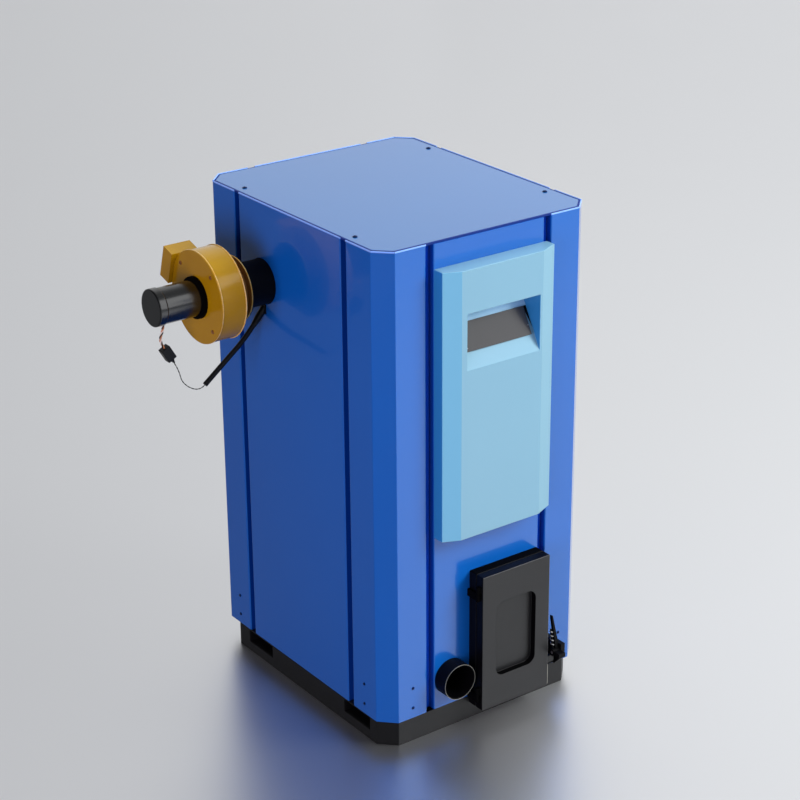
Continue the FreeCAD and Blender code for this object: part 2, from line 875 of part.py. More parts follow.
def burner_pot():
    """Open fuel pot fed through its front wall."""
    half = pot_width / 2
    back = pot_front + pot_length
    top = ash_floor + pot_height
    pot = box((feed_x - half, pot_front, ash_floor), (feed_x + half, back, top))
    pot = pot.cut(box((feed_x - half + pot_wall, pot_front + pot_wall, ash_floor + pot_floor),
                      (feed_x + half - pot_wall, back - pot_wall, top)))
    hole = feed_bore + pass_clearance
    return pot.cut(rod(hole, (feed_x, pot_front, feed_z), (feed_x, pot_front + pot_wall, feed_z)))


def fire_grate():
    """Slotted bench over the ash pan on two side plates."""
    top = ash_floor + grate_height
    bench = box((grate_left, grate_front, ash_floor), (grate_right, grate_back, top))
    bench = bench.cut(box((grate_left + firebox_wall, grate_front, ash_floor),
                          (grate_right - firebox_wall, grate_back, top - grate_thickness)))
    pitch = (grate_back - grate_front - 2 * grate_border) / grate_slots
    for i in range(grate_slots):
        y = grate_front + grate_border + (i + 0.5) * pitch
        bench = bench.cut(box((grate_left + grate_border, y - grate_slot_width / 2, top - grate_thickness),
                              (grate_right - grate_border, y + grate_slot_width / 2, top)))
    return bench


def ash_pan():
    """Open tray on the firebox floor with a pull at its front."""
    x_low = throat_left + pan_gap
    x_high = throat_right - pan_gap
    top = ash_floor + pan_height
    pan = box((x_low, pan_front, ash_floor), (x_high, pan_back, top))
    pan = pan.cut(box((x_low + pan_wall, pan_front + pan_wall, ash_floor + pan_wall),
                      (x_high - pan_wall, pan_back - pan_wall, top)))
    middle = (x_low + x_high) / 2
    half = pan_handle_width / 2
    pull_top = top - pan_handle_drop
    pull = box((middle - half, pan_front - pan_handle_depth, pull_top - pan_handle_height),
               (middle + half, pan_front, pull_top))
    return pan.fuse(pull)


def front_tube():
    """Open fuel tube from in front of the panel to the burner pot."""
    return tube(feed_radius, feed_bore, (feed_x, front - feed_reach, feed_z), (feed_x, pot_front, feed_z))


water_pipes = {
    "flow_pipe": (flow_radius, pipe_x, flow_z),
    "return_pipe": (return_radius, pipe_x, return_z),
}


def water_pipe(radius, x, z):
    """Pipe stub from the vessel through the rear panel."""
    return tube(radius, radius - pipe_wall, (x, vessel_back, z), (x, rear + pipe_reach, z))


# Draught fan
def flue_tube():
    """Flue from the smoke box out through the left panel, with a flange on its end."""
    body = disc(flue_radius, flue_start, flue_end).fuse(disc(flange_radius, flue_end, inlet_x))
    return body.cut(disc(flue_bore, flue_start, inlet_x))


def fan_volute():
    """Round fan casing, open to the cover, with a flanged inlet and an outlet neck."""
    neck_low_corner = (volute_left + neck_margin, 0, neck_low)
    neck_high_corner = (volute_right - neck_margin, neck_end, neck_high)
    bore_low = (volute_left + neck_margin + volute_wall, 0, neck_low + volute_wall)
    bore_high = (volute_right - neck_margin - volute_wall, neck_end, neck_high - volute_wall)
    body = disc(volute_radius, volute_left, volute_right)
    body = body.fuse(in_outlet(neck_low_corner, neck_high_corner))
    body = body.cut(disc(volute_radius - volute_wall, volute_left, volute_right - volute_wall))
    body = body.cut(in_outlet(bore_low, bore_high))
    body = body.fuse(disc(flange_radius, inlet_x, neck_x)).fuse(disc(inlet_neck_radius, neck_x, volute_right))
    return body.cut(disc(inlet_radius, inlet_x, volute_right - volute_wall)).removeSplitter()


def fan_cover():
    """Disc that closes the casing and carries the motor."""
    radius = volute_radius + cover_disc_lip
    return disc(radius, cover_x, volute_left).cut(disc(shaft_passage_radius, cover_x, volute_left))


def fan_outlet_box():
    """Rectangular outlet around the casing's neck, open at its far end."""
    x_low = volute_left - outlet_left_overhang
    x_high = volute_right - outlet_right_inset
    body = in_outlet((x_low, outlet_start, outlet_low), (x_high, outlet_end, outlet_high))
    body = body.cut(in_outlet((x_low + outlet_wall, outlet_start + outlet_wall, outlet_low + outlet_wall),
                              (x_high - outlet_wall, outlet_end, outlet_high - outlet_wall)))
    socket = in_outlet((volute_left + neck_margin, 0, neck_low),
                       (volute_right - neck_margin, outlet_end, neck_high))
    body = body.cut(socket)
    drum = volute_radius + outlet_drum_gap
    return body.cut(disc(drum, cover_x - outlet_drum_gap, x_high))


def blade(x_from, x_to):
    """One straight blade of the impeller."""
    root = hub_radius / 2
    tip = impeller_radius - blade_inset
    half = blade_thickness / 2
    return box((x_from, fan_y + root, fan_z - half), (x_to, fan_y + tip, fan_z + half))


def fan_impeller():
    """Open wheel with a back plate, straight blades and a hub."""
    back = volute_left + impeller_gap
    wheel = disc(impeller_radius, back, back + impeller_plate)
    wheel = wheel.fuse(disc(hub_radius, back, back + hub_length))
    one = blade(back + impeller_plate / 2, volute_right - volute_wall - impeller_gap)
    step = 360.0 / blade_count
    blades = [one.rotated(V(*on_fan(0)), V(1, 0, 0), i * step) for i in range(blade_count)]
    wheel = wheel.fuse(blades)
    return wheel.cut(disc(shaft_radius, back, back + hub_length)).removeSplitter()


def fan_shaft():
    """Shaft from inside the motor to the impeller's hub."""
    return disc(shaft_radius, motor_cap_x + shaft_end_gap, volute_left + impeller_gap + hub_length)


def motor_body():
    """Motor case on its round foot, with the bearing bore and a boss for the leads."""
    body = disc(motor_radius, motor_cap_x, motor_x).fuse(disc(motor_ring_radius, motor_x, cover_x))
    boss_x = motor_cap_x + lead_boss_inset
    low = fan_z - motor_radius - lead_boss_drop
    half = lead_boss_size / 2
    boss = box((boss_x - half, fan_y - half, low), (boss_x + half, fan_y + half, fan_z))
    body = body.fuse(boss).cut(disc(shaft_radius + running_clearance, motor_cap_x + shaft_end_gap, cover_x))
    return body.removeSplitter()


def motor_cap():
    """End cap of the motor."""
    return disc(motor_cap_radius, motor_end, motor_cap_x)


# Fan cable
def in_plane(place):
    """Point of the cable's plane."""
    return V(left + place[0], fan_y, fan_z + place[1])


def boot_way():
    """Way in which the cable leaves the panel."""
    slope = math.radians(boot_slope)
    return V(-math.cos(slope), 0, -math.sin(slope))


def cable_gland():
    """Square plate and slanted boot on the left panel."""
    root = V(left, fan_y, gland_z)
    half = gland_size / 2
    plate = box((left - gland_thickness, fan_y - half, gland_z - half), (left, fan_y + half, gland_z + half))
    way = boot_way()
    boot = Part.makeCylinder(boot_radius, boot_length + boot_radius, root - way * boot_radius, way)
    inside = box((left, fan_y - half, gland_z - gland_size),
                 (left + gland_size, fan_y + half, gland_z + gland_size))
    return plate.fuse(boot.cut(inside)).removeSplitter()


def cord(name, points, radius):
    """Cord on straight runs and tangent arcs; prints its length, bends and volume ratio."""
    radii = [0]
    for a, b, c in zip(points, points[1:], points[2:]):
        half_turn = (b - a).getAngle(c - b) / 2
        radii.append(bend_share * min((b - a).Length, (c - b).Length) / math.tan(half_turn))
    radii.append(0)
    spine = rounded_wire(points, radii, False)
    step = 2 * math.pi / cord_sides
    corner = radius * math.sqrt(step / math.sin(step))
    lengths = []
    for edge in spine.Edges:
        start, heading = edge.valueAt(edge.FirstParameter), edge.tangentAt(edge.FirstParameter)
        side = V(0, corner, 0)
        rise = heading.cross(side)
        ring = [start + side * math.cos(i * step) + rise * math.sin(i * step) for i in range(cord_sides)]
        section = Part.Face(Part.makePolygon(ring + ring[:1]))
        if isinstance(edge.Curve, Part.Circle):
            turn = math.degrees(edge.LastParameter - edge.FirstParameter)
            lengths.append(section.revolve(edge.Curve.Center, edge.Curve.Axis, turn))
        else:
            lengths.append(section.extrude(heading * edge.Length))
    solid = lengths[0].multiFuse(lengths[1:]).removeSplitter()
    ratio = solid.Volume / (math.pi * radius * radius * spine.Length)
    print(name, "length", round(spine.Length, 1), "bends", [round(r, 1) for r in radii[1:-1]])
    print(name, "volume over section times length", round(ratio, 4))
    return solid


def fan_cable_route():
    """Points of the cable from the gland to where its sheath ends."""
    start = V(left, fan_y, gland_z) + boot_way() * boot_length
    return [start, start + boot_way() * cable_first_run, in_plane(cable_bend), in_plane(cable_end)]


def connector_way():
    """Long direction of the connector, from the motor's side to the cable's."""
    slope = math.radians(connector_slope)
    return V(math.cos(slope), 0, -math.sin(slope))


def connector_end(distance):
    """Point on the connector's long line at a distance from its middle."""
    return in_plane(connector_place) + connector_way() * distance


def lead_connector():
    """Plug and socket block that hangs between the leads, with a boot on the cable's side."""
    half = connector_length / 2
    along = connector_way() * connector_length
    side = V(along.z, 0, -along.x).normalize()
    corner = connector_end(-half) - side * (connector_width / 2) - V(0, connector_depth / 2, 0)
    across = side * connector_width
    outline = [corner, corner + along, corner + along + across, corner + across]
    block = prism(outline, (0, connector_depth, 0), connector_edge_radius)
    foot = connector_end(half) - V(0, connector_boot_radius, 0)
    tail = connector_end(half + connector_boot_length) - V(0, connector_boot_radius, 0)
    wide = side * connector_boot_radius
    narrow = side * lead_radius
    boot = prism([foot - wide, tail - narrow, tail + narrow, foot + wide], (0, 2 * connector_boot_radius, 0))
    return block.fuse(boot)


def fan_cable():
    """Sheathed cable, the lead from its end to the connector and the lead from there to the motor."""
    before, end = fan_cable_route()[-2:]
    plug = connector_length / 2 + connector_boot_length
    first = end + (end - before).normalize() * lead_first_run
    low_route = [end, first, in_plane(lead_bend), connector_end(plug + lead_last_run), connector_end(plug)]
    socket = -connector_length / 2
    boss = V(motor_cap_x + lead_boss_inset, fan_y, fan_z - motor_radius - lead_boss_drop)
    below_boss = boss - V(0, 0, motor_lead_drop)
    high_route = [connector_end(socket), connector_end(socket - motor_lead_rise), below_boss, boss]
    return Part.makeCompound([
        cord("cable", fan_cable_route(), cable_radius),
        cord("cable_lead", low_route, lead_radius),
        cord("motor_lead", high_route, motor_lead_radius),
    ])


# Nodes
post = corner_post()
nodes = {
    "plinth_skirt": plinth_skirt(),
    "fork_channel_front": fork_channel(fork_places[0]),
    "fork_channel_rear": fork_channel(fork_places[1]),
    "base_rail": base_rail(),
    "floor_tray": floor_tray(),
    "corner_post_front_left": post,
    "corner_post_front_right": mirrored_x(post),
    "corner_post_rear_left": mirrored_y(post),
    "corner_post_rear_right": mirrored_y(mirrored_x(post)),
    "front_panel": front_panel(),
    "side_panel_left": side_panel_left(),
    "side_panel_right": side_panel_right(),
    "rear_panel": rear_panel(),
    "top_cover": top_cover(),
    "front_fascia": front_fascia(),
    "display_panel": display_panel(),
    "controller_box": controller_box(),
    "door_frame": door_frame(),
    "ash_door": ash_door(),
    "door_catch": door_catch(),
    "door_seal": door_seal(),
    "door_baffle": door_baffle(),
    "hinge_brackets": hinge_brackets(),
    "hinge_pins": hinge_pins(),
    "latch_bracket": latch_bracket(),
    "latch_pin": latch_pin(),
    "latch_lever": latch_lever(),
    "latch_spring": latch_spring(),
    "boiler_shell": boiler_shell(),
    "firebox": firebox(),
    "smoke_passes": smoke_passes(),
    "smoke_box": smoke_box(),
    "burner_pot": burner_pot(),
    "fire_grate": fire_grate(),
    "ash_pan": ash_pan(),
    "front_tube": front_tube(),
    "flue_tube": flue_tube(),
    "fan_volute": fan_volute(),
    "fan_cover": fan_cover(),
    "fan_outlet_box": fan_outlet_box(),
    "fan_impeller": fan_impeller(),
    "fan_shaft": fan_shaft(),
    "motor_body": motor_body(),
    "motor_cap": motor_cap(),
    "cable_gland": cable_gland(),
    "fan_cable": fan_cable(),
    "lead_connector": lead_connector(),
}
for name, (radius, x, z) in water_pipes.items():
    nodes[name] = water_pipe(radius, x, z)

os.makedirs("parts", exist_ok=True)
for name, shape in nodes.items():
    shape.exportStep("parts/" + name + ".step")
    print(name, "valid" if shape.isValid() else "INVALID", len(shape.Solids), "solids")
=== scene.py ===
import json
import math

import bmesh
import bpy
from mathutils import Matrix, Vector


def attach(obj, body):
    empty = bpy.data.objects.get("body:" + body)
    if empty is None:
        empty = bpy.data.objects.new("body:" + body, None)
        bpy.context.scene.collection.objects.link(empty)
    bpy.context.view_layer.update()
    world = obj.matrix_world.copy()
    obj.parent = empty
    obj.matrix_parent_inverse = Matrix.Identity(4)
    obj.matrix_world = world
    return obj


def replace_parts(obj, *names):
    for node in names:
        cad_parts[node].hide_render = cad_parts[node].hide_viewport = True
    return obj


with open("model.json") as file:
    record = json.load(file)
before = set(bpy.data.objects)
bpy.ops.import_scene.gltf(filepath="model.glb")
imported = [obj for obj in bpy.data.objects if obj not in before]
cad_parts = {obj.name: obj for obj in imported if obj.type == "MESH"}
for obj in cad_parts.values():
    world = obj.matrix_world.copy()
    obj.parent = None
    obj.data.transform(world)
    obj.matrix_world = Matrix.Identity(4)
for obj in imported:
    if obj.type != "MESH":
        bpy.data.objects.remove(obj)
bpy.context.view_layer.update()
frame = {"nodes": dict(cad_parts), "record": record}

record = frame["record"]
behaviour = record["behaviour"]
node_body = {node: body for body, nodes in behaviour["bodies"].items() for node in nodes}
node_slot = {piece["node"]: piece["material_slot"] for piece in record["subparts"]}


# Places taken from the frame, in metres
def reach(node):
    """Least and greatest corner of a node."""
    spots = [vertex.co for vertex in frame["nodes"][node].data.vertices]
    return [Vector([pick(spot[axis] for spot in spots) for axis in range(3)]) for pick in (min, max)]


def place_of(rows, name):
    """Place of the joint or mount with a name."""
    return next(row["pos_m"] for row in rows if row["name"] == name)


RIGHT, REAR, POST_TOP = reach("corner_post_rear_right")[1]
COVER_FOOT = reach("top_cover")[0].z
COVER_TOP = reach("top_cover")[1].z
PANEL_HALF_WIDTH = reach("front_panel")[1].x
PANEL_HALF_DEPTH = reach("side_panel_right")[1].y
FASCIA_LOW, FASCIA_HIGH = reach("front_fascia")
LEAF_LOW, LEAF_HIGH = reach("ash_door")
DRUM_FRONT = reach("fan_volute")[0].x
COVER_FACE = reach("fan_cover")[0].x
TUBE_MOUTH = reach("front_tube")[0].y
TUBE_X, _, TUBE_Z = place_of(record["mounts"], "fuel_inlet")
_, FAN_Y, FAN_Z = place_of(behaviour["joints"], "fan_spin")
_, LATCH_Y, LATCH_Z = place_of(behaviour["joints"], "latch_pivot")

# Sizes that repeat those of the part's source, in metres
GROOVE_WIDTH = 0.020
CORNER_CUT = 0.037
DRUM_BACK = -0.400
FLANGE_EDGE = -0.3655
MOTOR_FOOT = -0.4750


# Shader arithmetic
class Wire:
    """A shader socket that takes part in arithmetic."""

    def __init__(self, finish, socket):
        self.finish = finish
        self.socket = socket

    def sum_up(self, operation, first, second):
        return self.finish.add("Math", {"operation": operation}, {0: first, 1: second})

    def __add__(self, other):
        return self.sum_up("ADD", self, other)

    __radd__ = __add__

    def __rsub__(self, other):
        return self.sum_up("SUBTRACT", other, self)

    def __mul__(self, other):
        return self.sum_up("MULTIPLY", self, other)

    __rmul__ = __mul__


class Finish:
    """A material, or the world, that is put together node by node."""

    def __init__(self, owner):
        self.owner = owner
        owner.use_nodes = True
        self.tree = owner.node_tree
        self.tree.nodes.clear()

    def add(self, kind, settings=None, sockets=None, out=0):
        """New node of a type with its settings, then the values or links of its sockets."""
        made = self.tree.nodes.new("ShaderNode" + kind)
        for name, value in (settings or {}).items():
            setattr(made, name, value)
        for name, value in (sockets or {}).items():
            if isinstance(name, int):
                socket = made.inputs[name]
            else:
                socket = next(s for s in made.inputs if name in (s.identifier, s.name) and s.enabled)
            if isinstance(value, Wire):
                self.tree.links.new(value.socket, socket)
            else:
                socket.default_value = value
        return Wire(self, made.outputs[out]) if made.outputs else None

    def place(self):
        return self.add("TexCoord", out="Object")

    def axis(self, vector, name):
        return self.add("SeparateXYZ", None, {"Vector": vector}, out=name)

    def along(self, vector, way):
        """How far a vector runs along a fixed way."""
        return self.add("VectorMath", {"operation": "DOT_PRODUCT"}, {0: vector, 1: way}, out="Value")

    def stretched(self, place, scale):
        return self.add("Mapping", None, {"Vector": place, "Scale": scale})

    def noise(self, place, scale, detail=2.0, roughness=0.5):
        sockets = {"Vector": place, "Scale": scale, "Detail": detail, "Roughness": roughness}
        return self.add("TexNoise", None, sockets)

    def mix(self, factor, first, second):
        sockets = {"Factor_Float": factor, "A_Color": first, "B_Color": second}
        return self.add("Mix", {"data_type": "RGBA"}, sockets, out=2)

    def spread(self, value, low, high):
        """Value eased from 0 to 1 between two limits."""
        sockets = {"Value": value, "From Min": low, "From Max": high}
        return self.add("MapRange", {"interpolation_type": "SMOOTHSTEP"}, sockets)

    def bump(self, height, strength, distance):
        return self.add("Bump", None, {"Height": height, "Strength": strength, "Distance": distance})

    def shade(self, **sockets):
        """Principled surface; underscores in the names stand for spaces."""
        inputs = {name.replace("_", " "): value for name, value in sockets.items()}
        surface = self.add("BsdfPrincipled", None, inputs)
        self.add("OutputMaterial", None, {"Surface": surface})
        return self.owner


def colour(red, green, blue):
    """Screen colour from 0 to 255 as linear light."""
    def lit(c):
        c = c / 255
        return c / 12.92 if c <= 0.04045 else ((c + 0.055) / 1.055) ** 2.4
    return (lit(red), lit(green), lit(blue), 1)


def material(name):
    return Finish(bpy.data.materials.new(name))


# Finishes
def cabinet_paint(name, red, green, blue_part):
    """Glossy blue stove paint with a slight orange peel, dust and faint rub marks."""
    f = material(name)
    place = f.place()
    cloud = f.noise(place, scale=2.2, detail=3)
    dust = f.spread(f.noise(place, scale=55, detail=5, roughness=0.65), 0.55, 0.8)
    peel = f.noise(place, scale=420, detail=1)
    streaks = f.noise(f.stretched(place, (220, 220, 9)), scale=1, detail=4, roughness=0.6)
    rub = f.spread(streaks, 0.62, 0.78)
    deep = (red * 0.9, green * 0.92, blue_part * 0.94, 1)
    pale = (red * 1.1, green * 1.08, blue_part * 1.06, 1)
    base = f.mix(cloud, deep, pale)
    base = f.mix(dust * 0.015, base, colour(120, 150, 200))
    relief = f.bump(peel * 0.8 + rub * 0.05, strength=0.06, distance=0.0006)
    return f.shade(Base_Color=base, Roughness=0.24 + dust * 0.03 + rub * 0.02, Normal=relief,
                   Coat_Weight=0.6 - dust * 0.03, Coat_Roughness=0.045, Specular_IOR_Level=0.4)


def fascia_plastic():
    """Light blue moulded plastic with a fine grain, with painted shade on its left-facing walls and painted
    light in the recess.
    """
    f = material("fascia_plastic")
    place = f.place()
    cloud = f.noise(place, scale=3.0, detail=3)
    grain = f.noise(place, scale=1400)
    flow = f.noise(f.stretched(place, (9, 9, 1.5)), scale=1, detail=3)
    # painted shade by facing: how far a face turns to the left
    left = f.axis(f.add("NewGeometry", out="Normal"), "X") * -1
    recess = f.spread(f.axis(place, "Y"), -0.353, -0.349)
    base = f.mix(cloud * 0.6 + flow * 0.4, (0.159, 0.329, 0.450, 1), (0.174, 0.355, 0.478, 1))
    # painted light: the recess is paled to stand in for light that its roof blocks
    base = f.mix(recess, base, (0.30, 0.56, 0.80, 1))
    # painted light and shade by facing: faces turned partly left get a more saturated blue, walls facing
    # left a deep shaded blue
    base = f.mix(f.spread(left, 0.2, 0.4), base, (0.147, 0.415, 0.61, 1))
    base = f.mix(f.spread(left, 0.55, 0.95) * 0.85, base, (0.003, 0.168, 0.45, 1))
    relief = f.bump(grain, strength=0.05, distance=0.0004)
    return f.shade(Base_Color=base, Roughness=0.30 + flow * 0.08, Normal=relief,
                   Coat_Weight=0.25 + cloud * 0.1, Coat_Roughness=0.12, Specular_IOR_Level=0.5)


def satin_paint(name, tone, rough, shine):
    """Satin paint over steel, finely textured, with greyer rubbed patches."""
    f = material(name)
    place = f.place()
    cloud = f.noise(place, scale=6.0, detail=4)
    worn = f.spread(f.noise(place, scale=38, detail=6, roughness=0.7), 0.58, 0.82)
    grain = f.noise(place, scale=900)
    base = f.mix(cloud, colour(*[t - 4 for t in tone]), colour(*tone))
    base = f.mix(worn * 0.06, base, colour(86, 86, 90))
    relief = f.bump(grain, strength=0.12, distance=0.0005)
    return f.shade(Base_Color=base, Roughness=rough - 0.05 + cloud * 0.1, Normal=relief,
                   Specular_IOR_Level=shine)


def ochre_paint():
    """Ochre machine paint with brush-thin brown shading and small specks."""
    f = material("ochre_paint")
    place = f.place()
    cloud = f.noise(place, scale=9.0, detail=4)
    smear = f.noise(f.stretched(place, (12, 40, 40)), scale=1, detail=4)
    specks = f.spread(f.noise(place, scale=240, detail=3, roughness=0.7), 0.66, 0.74)
    peel = f.noise(place, scale=330)
    base = f.mix(cloud, colour(157, 119, 7), colour(175, 136, 10))
    base = f.mix(smear * 0.22, base, colour(128, 84, 14))
    base = f.mix(specks * 0.3, base, colour(96, 62, 16))
    relief = f.bump(peel, strength=0.05, distance=0.0006)
    return f.shade(Base_Color=base, Roughness=0.15 + smear * 0.08, Normal=relief,
                   Coat_Weight=0.2 - specks * 0.15, Coat_Roughness=0.08, Specular_IOR_Level=0.4)


def edge_wear_and_highlight():
    """Paint worn thin on rolled sheet edges, paled further as a painted highlight along them."""
    f = material("edge_wear_and_highlight")
    place = f.place()
    wear = f.spread(f.noise(place, scale=70, detail=5, roughness=0.7), 0.35, 0.7)
    base = f.mix(wear, colour(206, 160, 62), colour(226, 204, 150))
    relief = f.bump(f.noise(place, scale=500), strength=0.08, distance=0.0004)
    return f.shade(Base_Color=base, Roughness=0.36 - wear * 0.1, Metallic=wear * 0.35, Normal=relief,
                   Specular_IOR_Level=0.5)


def bare_steel(name, tone, rough):
    """Bare steel with fine turning marks and a little tarnish."""
    f = material(name)
    place = f.place()
    tarnish = f.noise(place, scale=60, detail=5, roughness=0.6)
    marks = f.noise(f.stretched(place, (2600, 300, 300)), scale=1)
    base = f.mix(tarnish, colour(*[t - 22 for t in tone]), colour(*tone))
    relief = f.bump(marks, strength=0.08, distance=0.0003)
    return f.shade(Base_Color=base, Metallic=0.96 - tarnish * 0.08, Roughness=rough + tarnish * 0.14,
                   Normal=relief, Specular_IOR_Level=0.5)


def sooty_steel(name, tone, soot):
    """Heat-scaled steel with soot blooms."""
    f = material(name)
    place = f.place()
    scale = f.noise(place, scale=120, detail=5, roughness=0.65)
    bloom = f.spread(f.noise(place, scale=7, detail=5, roughness=0.6), 0.35, 0.7)
    base = f.mix(scale, colour(*tone), colour(*[t + 24 for t in tone]))
    base = f.mix(bloom * soot, base, colour(26, 24, 23))
    relief = f.bump(scale, strength=0.25, distance=0.001)
    return f.shade(Base_Color=base, Metallic=0.35 - bloom * 0.25, Roughness=0.6 + bloom * 0.25,
                   Normal=relief, Specular_IOR_Level=0.4)


def moulded_black(name, rough):
    """Black moulded plastic or rubber with a fine grain."""
    f = material(name)
    place = f.place()
    cloud = f.noise(place, scale=40, detail=3)
    grain = f.noise(place, scale=2200)
    base = f.mix(cloud, colour(9, 9, 10), colour(16, 16, 18))
    relief = f.bump(grain, strength=0.15, distance=0.0003)
    return f.shade(Base_Color=base, Roughness=rough + cloud * 0.12, Normal=relief, Specular_IOR_Level=0.3)


def wire_skin(name, tone):
    """Coloured insulation of a thin wire."""
    f = material(name)
    cloud = f.noise(f.place(), scale=160, detail=3)
    base = f.mix(cloud, colour(*[t * 0.82 for t in tone]), colour(*tone))
    relief = f.bump(cloud, strength=0.05, distance=0.0003)
    return f.shade(Base_Color=base, Roughness=0.38 + cloud * 0.14, Normal=relief, Specular_IOR_Level=0.5)


def display_face():
    """Smoked grey plate with a soft sheen and fine dust."""
    f = material("display_face")
    place = f.place()
    cloud = f.noise(place, scale=8, detail=3)
    dust = f.spread(f.noise(place, scale=300, detail=4, roughness=0.7), 0.6, 0.8)
    base = f.mix(cloud, colour(41, 41, 44), colour(47, 46, 50))
    base = f.mix(dust * 0.06, base, colour(130, 130, 132))
    relief = f.bump(f.noise(place, scale=700), strength=0.03, distance=0.0003)
    return f.shade(Base_Color=base, Roughness=0.32 + dust * 0.15, Normal=relief,
                   Coat_Weight=0.2 + cloud * 0.1, Coat_Roughness=0.15, Specular_IOR_Level=0.5)


def rope_fibre():
    """Plaited glass-fibre rope."""
    f = material("rope_fibre")
    place = f.place()
    sockets = {"Vector": place, "Scale": 130, "Distortion": 1.5}
    plait = f.add("TexWave", {"bands_direction": "DIAGONAL"}, sockets, out="Fac")
    fuzz = f.noise(place, scale=900, detail=3)
    base = f.mix(plait * 0.6 + fuzz * 0.4, colour(120, 116, 108), colour(190, 186, 176))
    relief = f.bump(plait + fuzz * 0.5, strength=0.5, distance=0.001)
    return f.shade(Base_Color=base, Roughness=0.9 - plait * 0.06, Normal=relief, Specular_IOR_Level=0.2)


blue = cabinet_paint("cabinet_paint", 0.003, 0.100, 0.425)
cover_blue = cabinet_paint("cover_paint", 0.003, 0.114, 0.365)
# painted shade: darker and deeper blue copies of the cabinet paint for the grooves
groove_floor_shade = cabinet_paint("groove_floor_shade", 0.0006, 0.095, 0.90)
groove_wall_shade = cabinet_paint("groove_wall_shade", 0.0006, 0.036, 0.25)
# painted highlight: pale blue for the rolled top edges
rim_highlight_blue = cabinet_paint("rim_highlight_paint", 0.18, 0.36, 0.85)
ochre = ochre_paint()
# worn edge paint that also serves as a painted highlight on rims and top bevels
ochre_wear_and_highlight = edge_wear_and_highlight()
door_black = satin_paint("door_black", (18, 18, 20), 0.44, 0.55)
base_black = satin_paint("base_black", (13, 13, 15), 0.5, 0.5)
motor_black = satin_paint("motor_black", (9, 10, 11), 0.2, 1.0)
dull_black = satin_paint("dull_black", (7, 7, 8), 0.8, 0.05)
# painted highlight: light grey for the door leaf's lit bevels
leaf_edge_highlight = satin_paint("leaf_edge_highlight", (92, 92, 95), 0.5, 0.5)
tube_black = satin_paint("tube_black", (8, 8, 10), 0.44, 0.12)
bright_steel = bare_steel("bright_steel", (188, 188, 190), 0.24)
# brown of the fan's screws, also used as painted shade on the inlet flange
brown_screw_and_flange_shade = satin_paint("brown_screw_and_flange_shade", (124, 82, 38), 0.36, 0.7)
bare_edge_and_highlight = bare_steel("bare_edge_and_highlight", (170, 168, 160), 0.3)
boiler_steel = sooty_steel("boiler_steel", (92, 88, 84), 0.75)
iron = sooty_steel("iron", (66, 62, 60), 0.6)
hard_plastic = moulded_black("hard_plastic", 0.34)
cable_skin = moulded_black("cable_skin", 0.42)
seam_navy = satin_paint("seam_navy", (20, 46, 118), 0.6, 0.2)
screw_navy = bare_steel("screw_navy", (40, 62, 120), 0.36)
lead_brown = wire_skin("lead_brown", (204, 138, 92))
lead_white = wire_skin("lead_white", (238, 226, 212))
slot_finish = {
    "blue_paint": blue,
    "light_blue_plastic": fascia_plastic(),
    "grey_display": display_face(),
    "black_paint": base_black,
    "ochre_paint": ochre,
    "bright_steel": bright_steel,
    "boiler_steel": boiler_steel,
    "cast_iron": iron,
    "black_plastic": hard_plastic,
    "cable_rubber": cable_skin,
    "rope_seal": rope_fibre(),
}
node_finish = {
    "top_cover": cover_blue,
    "ash_door": door_black,
    "door_frame": door_black,
    "door_catch": door_black,
    "hinge_brackets": dull_black,
    "hinge_pins": dull_black,
    "motor_body": motor_black,
    "motor_cap": motor_black,
    "flue_tube": tube_black,
    "latch_bracket": tube_black,
    "latch_lever": tube_black,
    "front_tube": tube_black,
}


def finish_of(node):
    return node_finish.get(node, slot_finish[node_slot[node]])


# Studio
CAMERA_PLACE = (-2.6837, -3.7060, 2.6336)
CAMERA_ACROSS = (0.8069, -0.5907, -0.0072)
CAMERA_BACK = (-0.5411, -0.7439, 0.3923)
CAMERA_LENS = 94.56
SENSOR_WIDTH = 36
PICTURE_RIGHT = (0.807, -0.591, 0)
GLOW_WAY = (0.62, 0.70, 0.35)
CABINET_MIDDLE = (0, 0, 0.6)
COVER_MIDDLE = (0, 0, 1.2)
FLOOR_REACH = 60


def linked(name, data):
    """New object in the scene."""
    made = bpy.data.objects.new(name, data)
    bpy.context.scene.collection.objects.link(made)
    return made


def camera():
    made = linked("camera", bpy.data.cameras.new("camera"))
    back = Vector(CAMERA_BACK).normalized()
    across = Vector(CAMERA_ACROSS)
    across = (across - back * across.dot(back)).normalized()
    turn = Matrix((across, back.cross(across), back)).transposed()
    made.matrix_world = Matrix.Translation(CAMERA_PLACE) @ turn.to_4x4()
    made.data.lens = CAMERA_LENS
    made.data.sensor_width = SENSOR_WIDTH
    made.data.sensor_fit = "HORIZONTAL"
    bpy.context.scene.camera = made


def world_light():
    """Pale surroundings, brighter behind the object and to the right, darker overhead."""
    world = bpy.data.worlds.new("studio")
    bpy.context.scene.world = world
    f = Finish(world)
    way = f.add("TexCoord", out="Generated")
    glow = f.spread(f.along(way, GLOW_WAY), 0.2, 1.05)
    right = f.spread(f.along(way, PICTURE_RIGHT), -0.6, 0.6)
    overhead = f.spread(f.axis(way, "Z"), 0.62, 0.95)
    level = (0.085 + glow * 0.57 + right * 0.49) * (1 - overhead * 0.7)
    tint = f.mix(glow, (0.94, 0.97, 1.0, 1), (0.985, 0.99, 1.0, 1))
    light = f.add("Background", None, {"Color": tint, "Strength": level})
    f.add("OutputWorld", None, {"Surface": light})


def softbox(name, place, target, size, power, mirrored=False, tint=(1, 1, 1)):
    """Square lamp turned to a target; glossy finishes mirror it only where it says so."""
    light = bpy.data.lights.new(name, "AREA")
    light.shape = "SQUARE"
    light.size = size
    light.energy = power
    light.color = tint
    made = linked(name, light)
    made.visible_glossy = mirrored
    turn = (Vector(target) - Vector(place)).to_track_quat("-Z", "Y")
    made.matrix_world = Matrix.Translation(place) @ turn.to_matrix().to_4x4()


